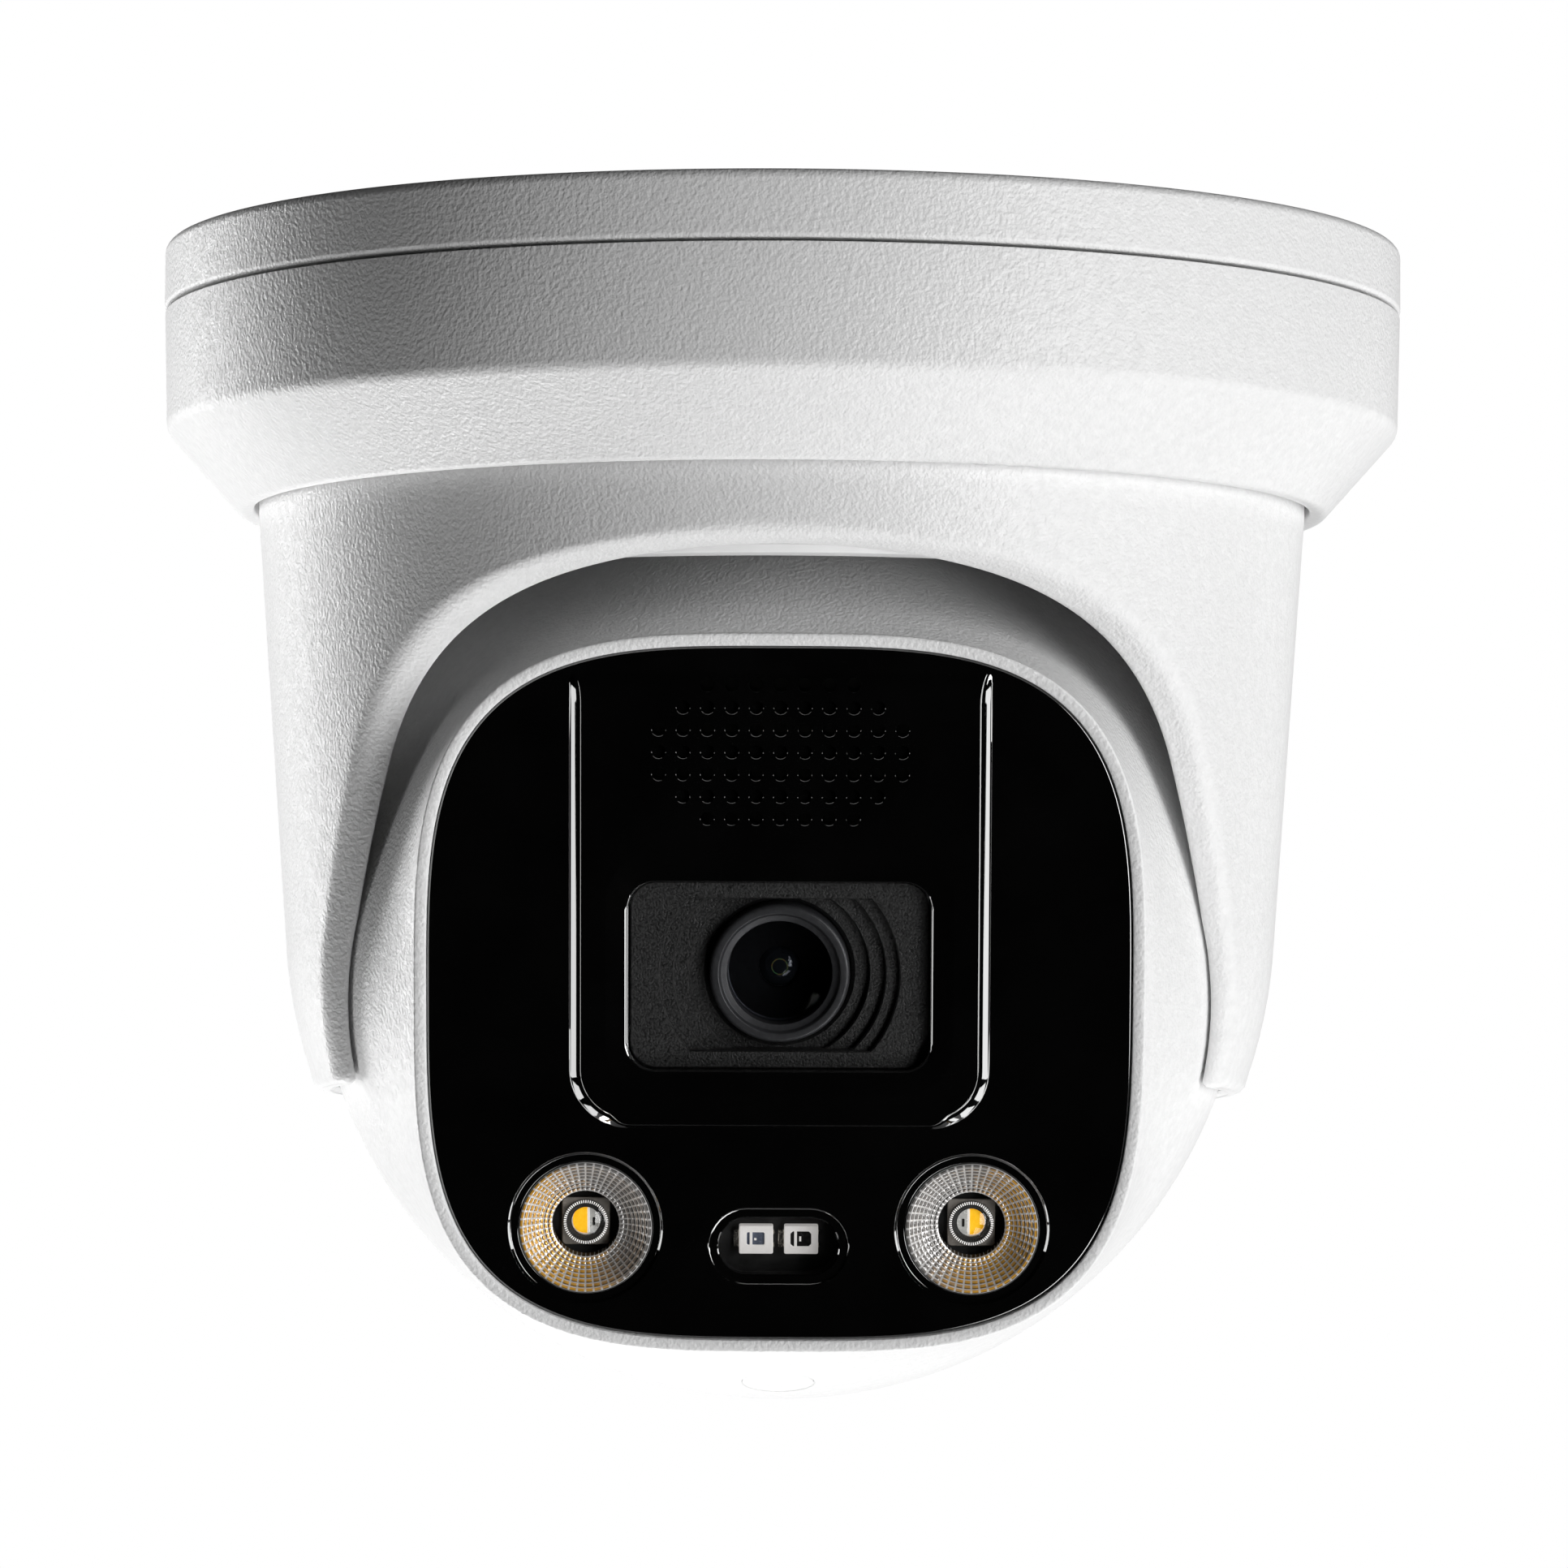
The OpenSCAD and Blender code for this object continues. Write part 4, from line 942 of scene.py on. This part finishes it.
def make_lens():
    place = on_ball(0, lens_v)
    barrel_front = panel_w - 1.2 - 0.1 - 0.9
    barrel = Shape().turned(outline([
        (5.5, 13, 0), (5.9, 13, 0.1), (5.9, barrel_front - 9.6, 0), (7.6, barrel_front - 9.6, 0.3),
        (7.6, barrel_front, 0.45), (6.6, barrel_front, 0.2), (6.35, barrel_front - 0.45, 0.1),
        (5.7, barrel_front - 0.6, 0.1), (5.62, barrel_front - 3, 0), (5.3, barrel_front - 3.1, 0),
        (3.4, barrel_front - 4.4, 0), (3.2, barrel_front - 4.8, 0.1), (3.2, 17, 0), (5.5, 17, 0)]),
        place, 128)
    piece(barrel.object("barrel_body", 30), "head", barrel_black, "lens_metal", "lens_barrel")
    glass = Shape().turned([(0, barrel_front - 2.9), (5.5, barrel_front - 2.9)]
                           + dome(22, 5.55, barrel_front - 0.9, 12), place, 96)
    piece(glass.object("front_lens_body", 30), "head", coated, "optical_glass", "front_lens")
    cone = Shape().turned([(5.45, barrel_front - 2.95), (5.45, barrel_front - 3.05),
                           (2.45, barrel_front - 4.2), (2.45, barrel_front - 4.1)], place, 96)
    piece(cone.object("lens_cone", 30), "head", pit_black, "lens_metal")
    ring = Shape().turned(outline([
        (2.28, barrel_front - 4.2, 0.1), (3.35, barrel_front - 4.2, 0.1), (3.35, barrel_front - 5.5, 0),
        (2.28, barrel_front - 5.5, 0)]), place, 64)
    piece(ring.object("stop_ring", 30), "head", pit_black, "lens_metal")
    crown = barrel_front - 4.1
    inner_ball = 3.2
    inner = Shape().turned([(0, 18), (3.1, 18), (3.1, barrel_front - 6), (2.25, barrel_front - 6)]
                           + dome(inner_ball, 2.25, crown, 8), place, 64)
    piece(inner.object("inner_lens_body", 30), "head", glass_dark, "optical_glass", "inner_lens")
    # Two rings painted onto the inner lens: the coating's reflection at the middle and the lamps' reflection
    # at its rim.
    for what, out_r, in_r, paint in (("pupil_reflection", 0.92, 0.60, coating_reflection), ("edge", 2.34, 2.22, edge_reflection)):
        low = crown - (inner_ball - math.sqrt(inner_ball ** 2 - out_r ** 2))
        ring = Shape().turned(outline([(in_r, low - 0.1, 0), (out_r, low - 0.1, 0),
                                       (out_r, low + 0.02, 0.02), (in_r, low + 0.05, 0.02)]), place, 64)
        piece(ring.object("inner_lens_" + what, 30), "head", paint, "optical_glass")


# ---------- lights ----------

def calc(tree, operation, *values):
    node = tree.nodes.new("ShaderNodeMath")
    node.operation = operation
    for socket, value in zip(node.inputs, values):
        if isinstance(value, (int, float)):
            socket.default_value = value
        else:
            tree.links.new(value, socket)
    return node.outputs[0]


def blend_colour(tree, share, first, second):
    node = tree.nodes.new("ShaderNodeMix")
    node.data_type = "RGBA"
    tree.links.new(share, node.inputs[0])
    for socket, colour in ((node.inputs[6], first), (node.inputs[7], second)):
        if isinstance(colour, tuple):
            socket.default_value = (*colour, 1)
        else:
            tree.links.new(colour, socket)
    return node.outputs[2]


def smooth_step(tree, value, low, high):
    node = tree.nodes.new("ShaderNodeMapRange")
    node.interpolation_type = "SMOOTHSTEP"
    node.inputs["From Min"].default_value = low
    node.inputs["From Max"].default_value = high
    tree.links.new(value, node.inputs["Value"])
    return node.outputs["Result"]


def optic_painted_material(name, side):
    """Clear moulding of small cells, drawn as an opaque surface whose colour is painted light: a painted
    highlight on the edges of the cells, a painted shade at their inner ends, and a painted image of the
    yellow-orange LED behind in the cells of the outboard and lower half, grey elsewhere."""
    material, tree = shader(name)
    nodes, links = tree.nodes, tree.links
    surface = nodes["Principled BSDF"]
    where = nodes.new("ShaderNodeTexCoord")
    turn = Matrix.Rotation(-math.radians(90 + tilt), 3, "X")
    place = nodes.new("ShaderNodeMapping")
    place.inputs["Rotation"].default_value = turn.to_euler()
    place.inputs["Location"].default_value = (turn @ Vector((0, 0, drop))
                                              - Vector((side * optic_u, optic_v, 0))) * MM
    links.new(where.outputs["Object"], place.inputs["Vector"])
    split = nodes.new("ShaderNodeSeparateXYZ")
    links.new(place.outputs["Vector"], split.inputs["Vector"])
    x, y = split.outputs["X"], split.outputs["Y"]
    multiply, add, subtract = (partial(calc, tree, what) for what in ("MULTIPLY", "ADD", "SUBTRACT"))
    turned = multiply(calc(tree, "ARCTAN2", y, x), optic_cells / math.tau)
    reach = calc(tree, "SQRT", add(multiply(x, x), multiply(y, y)))
    depth = multiply(subtract(optic_out * MM, reach), optic_rings / ((optic_out - optic_in) * MM))
    across = calc(tree, "ABSOLUTE", subtract(calc(tree, "FRACT", turned), 0.5))
    inward = calc(tree, "FRACT", depth)
    along = calc(tree, "ABSOLUTE", subtract(inward, 0.5))
    # Painted highlight: near-white edges of the cells, where the clear moulding would catch the light.
    edge = smooth_step(tree, calc(tree, "MAXIMUM", across, along), 0.30, 0.47)
    # Painted shade at the inner end of the cells.
    shade = smooth_step(tree, inward, 0.50, 0.20)
    # Painted image of the LED seen through the moulding: orange cells outboard and low, grey cells
    # elsewhere.
    outboard = add(multiply(x, side * 1000.0), multiply(y, -450.0))
    wobble = spread(tree, noise(tree, 0.9, 2.0), -1.6, 1.6)
    painted_led_image = smooth_step(tree, add(outboard, wobble), -3.0, 3.5)
    cell_painted_light = blend_colour(tree, painted_led_image, (0.26, 0.25, 0.24), (0.80, 0.42, 0.06))
    cell_painted_light = blend_colour(tree, multiply(shade, 0.85), cell_painted_light, (0.03, 0.025, 0.02))
    links.new(blend_colour(tree, edge, cell_painted_light, (0.78, 0.77, 0.76)), surface.inputs["Base Color"])
    links.new(spread(tree, noise(tree, 0.5), 0.08, 0.18), surface.inputs["Roughness"])
    surface.inputs["Metallic"].default_value = 0.25
    surface.inputs["Coat Weight"].default_value = 0.6
    surface.inputs["Coat Roughness"].default_value = 0.05
    return material


def make_optic(side, name):
    place = on_ball(side * optic_u, optic_v)
    front = panel_w - 0.1
    depth, fine = 1.9, 4
    around, inward = optic_cells * fine, optic_rings * fine
    shape = Shape()
    grid = []
    for j in range(inward + 1):
        row = []
        t = j / inward
        r = optic_out + (optic_in - optic_out) * t
        z = front - 0.25 - depth * math.sin(t * math.pi / 2)
        for i in range(around):
            lift = math.sin(math.pi * ((i % fine) / fine)) * math.sin(math.pi * ((j % fine) / fine))
            a = math.tau * i / around
            row.append((r * math.cos(a), r * math.sin(a), z + 0.13 * lift))
        grid.append(row)
    back = board_front + 0.85
    head = [raised(circle(3.65, around), back), raised(circle(7.2, around), front - 1.1),
            raised(circle(7.2, around), front - 0.12), raised(circle(7.08, around), front),
            raised(circle(6.85, around), front), raised(circle(6.78, around), front - 0.2)]
    tail = [raised(circle(3.63, around), front - 2.2), raised(circle(3.6, around), back)]
    shape.loft(head + grid + tail, place, caps=False)
    made = shape.object(name + "_optic_body", sharp=28)
    piece(made, "head", optic_painted_material(name + "_optic", side), "clear_plastic", "light_optic_" + name)
    lens_r, lens_ball = 2.45, 3.2
    shoulder = back + 0.75
    crown = shoulder + lens_ball - math.sqrt(lens_ball ** 2 - 2.1 ** 2)
    lens = Shape().turned([(0, back + 0.2), (lens_r, back + 0.2), (lens_r, shoulder - 0.1)]
                          + dome(lens_ball, 2.1, crown, 10), place, 64)
    piece(lens.object(name + "_optic_lens", 30), "head", clear_plastic, "clear_plastic")
    # White ridges round the small lens, with a painted glow.
    knurl = Shape()
    ridge, ridges = rect(2.12, 2.42, -0.055, 0.055, 0.03, 2), 60
    for k in range(ridges):
        spot = place @ Matrix.Rotation(math.tau * k / ridges, 4, "Z")
        knurl.stack([(ridge, shoulder - 0.14), (ridge, shoulder + 0.02)], spot)
    piece(knurl.object(name + "_optic_knurl", 30), "head", package_glow, "clear_plastic")
    ring = Shape().turned([(1.56, back), (2.44, back), (2.44, back + 0.3), (1.56, back + 0.26)], place, 64)
    piece(ring.object(name + "_optic_shade", 30), "head", plain_black, "black_plastic")
    plate = rect(-2.6, 2.6, -2.6, 2.6, 0.5)
    window = rect(-1.62, 1.62, -1.62, 1.62, 1.3)
    frame_part = Shape().stack([(window, back - 0.2), (plate, back - 0.2), (plate, back + 0.1),
                                (offset(plate, -0.1), back + 0.2), (window, back + 0.2),
                                (window, back - 0.2)], place, caps=False)
    piece(frame_part.object(name + "_optic_holder", 30), "head", holder_grey, "grey_plastic")
    make_light_led(side, name, place)


def make_light_led(side, name, place):
    """One LED: the yellow half (phosphor_glow) outboard and a bare metal half inboard, in a tray with a
    white bar; all of these have a painted glow, though the LED is not lit.
    """
    top = board_front + 0.62
    low = board_front
    tray = Shape().stack([(rect(-1.7, 1.7, -1.7, 1.7, 0.3), low),
                          (rect(-1.7, 1.7, -1.7, 1.7, 0.3), top - 0.06),
                          (rect(-1.64, 1.64, -1.64, 1.64, 0.26), top)], place)
    made = tray.object(name + "_led_body")
    pit = Shape().stack([(circle(1.5), top - 0.3), (circle(1.5), top + 0.5)], place)
    combine(made, pit.object("pit_tool"))
    piece(made, "head", silver_glow, "led_package", "light_led_" + name)
    # Both halves are drawn with a painted glow.
    for part, what, start in ((1, "phosphor_glow", -0.14), (-1, "metal", 0.40)):
        arc = [(side * part * (start + (1.44 - start) * max(0.0, math.cos(a)) ** 0.7), 1.42 * math.sin(a))
               for a in [math.radians(t) for t in np.linspace(90, -90, 25)]]
        crown = [(u * 0.95 + side * part * 0.04, v * 0.95) for u, v in arc]
        fill = Shape().stack([(arc, top - 0.3), (arc, top - 0.04), (crown, top + 0.02)], place)
        paint = phosphor_glow if what == "phosphor_glow" else silver_glow
        piece(fill.object(f"{name}_led_{what}"), "head", paint, "led_package")
    # A white bar with a painted glow, and a dark slot.
    bar = rect(-0.12, 0.12, -1.36, 1.36, 0.03, 2)
    slot = rect(-0.14, 0.14, -0.55, 0.35, 0.08, 2)
    for what, form, shift, lift, paint in (("bar", bar, 0.27, 0.04, package_glow),
                                           ("slot", slot, 0.86, 0.06, chip_dark)):
        low_ring = [(u - side * shift, v) for u, v in form]
        strip = Shape().stack([(low_ring, top - 0.3), (low_ring, top + lift)], place)
        piece(strip.object(f"{name}_led_{what}"), "head", paint, "led_package")


def make_alarm():
    edge = rect(-6.5, 6.5, alarm_v - 3.1, alarm_v + 3.1, 3.09)
    front = panel_w - 0.45
    body = Shape().stack([(edge, front - 1.2), (edge, front - 0.12), (offset(edge, -0.12), front)], BALL)
    made = body.object("alarm_window_body")
    piece(made, "head", pane, "clear_plastic", "alarm_window", flat=True)
    low = board_front
    wells = {"left": (rect(-1.05, 0.95, -0.62, 0.82, 0.2), -0.54, chip_blue),
             "right": (rect(-1.2, 1.14, -0.78, 0.94, 0.3, 1), -0.60, chip_dark)}
    for side, name in ((-1, "left"), (1, "right")):
        place = on_ball(side * 2.45, alarm_v)
        well, bar_u, colour = wells[name]
        body = rect(-1.85, 1.85, -1.57, 1.57, 0.2)
        shape = Shape().stack([(body, low), (body, low + 1.02), (offset(body, -0.08), low + 1.1)], place)
        shape = shape.object(f"alarm_led_{name}_body")
        pit = Shape().stack([(offset(well, -0.12), low + 0.55), (well, low + 1.06),
                             (offset(well, 0.05), low + 1.2)], place)
        combine(shape, pit.object("pit_tool"))
        bar = rect(bar_u - 0.15, bar_u + 0.15, min(v for u, v in well) - 0.1,
                   max(v for u, v in well) + 0.1, 0.02, 1)
        beam = Shape().stack([(bar, low + 0.5), (bar, low + 1.07)], place)
        combine(shape, beam.object("bar_tool"), "UNION")
        # The white LED body and its die have a painted glow.
        piece(shape, "head", package_glow, "led_package", f"alarm_led_{name}")
        gel = Shape().stack([(offset(well, -0.1), low + 0.5), (offset(well, -0.04), low + 0.9)], place)
        piece(gel.object(f"alarm_led_{name}_well"), "head", colour, "chip")
        die = rect(-0.2, 0.05, -0.1, 0.15, 0.03, 2) if side < 0 else rect(-0.2, 0.02, -0.2, 0.35, 0.03, 2)
        chipped = Shape().stack([(die, low + 0.88), (die, low + 0.94)], place)
        piece(chipped.object(f"alarm_led_{name}_die"), "head", package_glow, "chip")
        leads = Shape()
        for u0, u1, v0, v1 in ((-2.5, -1.8, -0.95, 0.95), (1.8, 2.02, 0.45, 0.95), (1.8, 2.02, -1.0, -0.5)):
            lead = rect(u0, u1, v0, v1, 0.1, 2)
            leads.stack([(lead, low), (lead, low + 0.3), (offset(lead, -0.08), low + 0.42)], place)
        piece(leads.object(f"alarm_led_{name}_leads"), "head", pads, "steel_screw")


def make_friction_pads():
    """Rubber pads at the back of the seat, in finer facets than the CAD's."""
    seat = seat_r + 0.02
    start, end = math.asin(pad_low / seat), math.asin(pad_high / seat)
    turns = [start + (end - start) * k / 12 for k in range(13)]
    section = [(seat * math.cos(a), -drop + seat * math.sin(a)) for a in turns]
    section += [(wall_r(high - drop), high - drop) for high in (pad_high, pad_low)]
    for name, side in (("friction_pad_left", 1), ("friction_pad_right", -1)):
        first = 90 + side * pad_at - pad_angle / 2
        rings = []
        for k in range(29):
            a = math.radians(first + pad_angle * k / 28)
            rings.append([(r * math.cos(a), r * math.sin(a), z) for r, z in section])
        piece(Shape().loft(rings).object(name + "_body"), "hood", rubber, "rubber", name)


# ---------- CAD nodes that stay ----------

CARRIED = (
    (rubber, "cable_grommet", "shell_seal", "cable_gland", "panel_seal"),
    (smooth_white, "pan_washer"),
    (steel, "trim_set_screw", "clamp_ring_screws", "shell_screws", "sensor_board_screws",
     "main_board_screws", "led_board_screws"),
    (grey_plastic, "anti_twist_ring"),
    (plain_black, "lens_holder", "filter_frame", "led_board", "speaker_frame", "speaker_cone",
     "speaker_mesh", "reset_switch", "reset_button"),
    (chip_blue, "image_sensor"),
    (board, "sensor_board", "main_board"),
    (brass, "board_spacers"),
    (filter_red, "infrared_filter"),
    (coated, "clear_filter"),
    (copper, "filter_coil"),
    (aluminium, "heat_spreader"),
)


def paint_carried():
    for material, *names in CARRIED:
        for name in names:
            paints = frame["nodes"][name].data.materials
            paints.clear()
            paints.append(material)


# ---------- stage, light and camera ----------

def aim(made, azimuth, elevation, distance, target):
    """Places a light round the target. Azimuth 0 is in front of the lens, and 90 is to its right."""
    a, e = math.radians(azimuth), math.radians(elevation)
    back = Vector((math.sin(a) * math.cos(e), -math.cos(a) * math.cos(e), math.sin(e)))
    made.location = Vector(target) + back * distance
    made.rotation_mode = "QUATERNION"
    made.rotation_quaternion = back.to_track_quat("Z", "Y")


# The camera and the lights, in metres and degrees
light_distance = 1.1
light_target = (0, 0, -0.06)
camera_at = (0.00038, -1.054, -0.1385)
camera_pitch = 4.271
camera_roll = 0.25


def softbox(name, azimuth, elevation, width, height, power):
    light = bpy.data.lights.new(name, "AREA")
    light.shape = "RECTANGLE"
    light.size, light.size_y = width, height
    light.energy = power
    made = bpy.data.objects.new(name, light)
    bpy.context.scene.collection.objects.link(made)
    aim(made, azimuth, elevation, light_distance, light_target)
    made.visible_camera = False


# Name, azimuth and elevation in degrees, width and height in metres, watts
LIGHTS = [
    ("key", 48, -3, 0.50, 0.80, 8.8),
    ("front_low", 38, -50, 0.50, 0.50, 3.4),
    ("left_back", -129, -2, 0.36, 0.75, 8.2),
    ("left_low", -138, -60, 0.50, 0.50, 10.5),
    ("right_back", 142, -8, 0.45, 0.75, 1.6),
    ("left_strip", -83, -11, 0.19, 0.44, 0.74),
    ("left_strip_mid", -91, -32, 0.20, 0.40, 0.70),
    ("left_strip_low", -104, -50, 0.20, 0.38, 0.66),
    ("right_strip", 83, -11, 0.19, 0.44, 0.86),
    ("right_strip_mid", 91, -32, 0.20, 0.40, 0.82),
    ("right_strip_low", 104, -50, 0.20, 0.38, 0.78),
    ("right_strip_end", 124, -65, 0.26, 0.38, 1.00),
]


def make_stage():
    world = bpy.data.worlds.new("white")
    bpy.context.scene.world = world
    world.use_nodes = True
    nodes, links = world.node_tree.nodes, world.node_tree.links
    rays = nodes.new("ShaderNodeLightPath")
    seen = nodes["Background"]
    seen.inputs["Color"].default_value = (1, 1, 1, 1)
    fill = nodes.new("ShaderNodeBackground")
    fill.inputs["Color"].default_value = (1, 1, 1, 1)
    fill.inputs["Strength"].default_value = 0.0
    mix = nodes.new("ShaderNodeMixShader")
    links.new(rays.outputs["Is Camera Ray"], mix.inputs["Fac"])
    links.new(fill.outputs["Background"], mix.inputs[1])
    links.new(seen.outputs["Background"], mix.inputs[2])
    links.new(mix.outputs["Shader"], nodes["World Output"].inputs["Surface"])
    for light in LIGHTS:
        softbox(*light)
    half, level = 750, -1400
    floor = Shape().add([(-half, -half, level), (half, -half, level), (half, half, level),
                         (-half, half, level)], [[0, 1, 2, 3]]).object("floor")
    floor.data.materials.append(finish("floor_paint", 0.80, 0.78, (0.7, 0.8), 40))


def make_camera():
    camera = bpy.data.objects.new("camera", bpy.data.cameras.new("camera"))
    bpy.context.scene.collection.objects.link(camera)
    camera.data.sensor_width = 36.0
    camera.data.lens = 217.1
    camera.data.clip_start = 0.01
    camera.data.clip_end = 100
    camera.location = camera_at
    turn = (Matrix.Rotation(math.radians(90 + camera_pitch), 4, "X")
            @ Matrix.Rotation(math.radians(camera_roll), 4, "Z"))
    camera.rotation_euler = turn.to_euler()
    bpy.context.scene.camera = camera
    bpy.context.scene.view_settings.view_transform = "Standard"


make_base()
make_trim()
make_hood()
make_clamp_ring()
make_front_shell()
make_rear_shell()
make_friction_pads()
make_panel()
make_window()
make_bezel()
make_lens()
make_optic(-1, "left")
make_optic(1, "right")
make_alarm()
paint_carried()
make_stage()
make_camera()
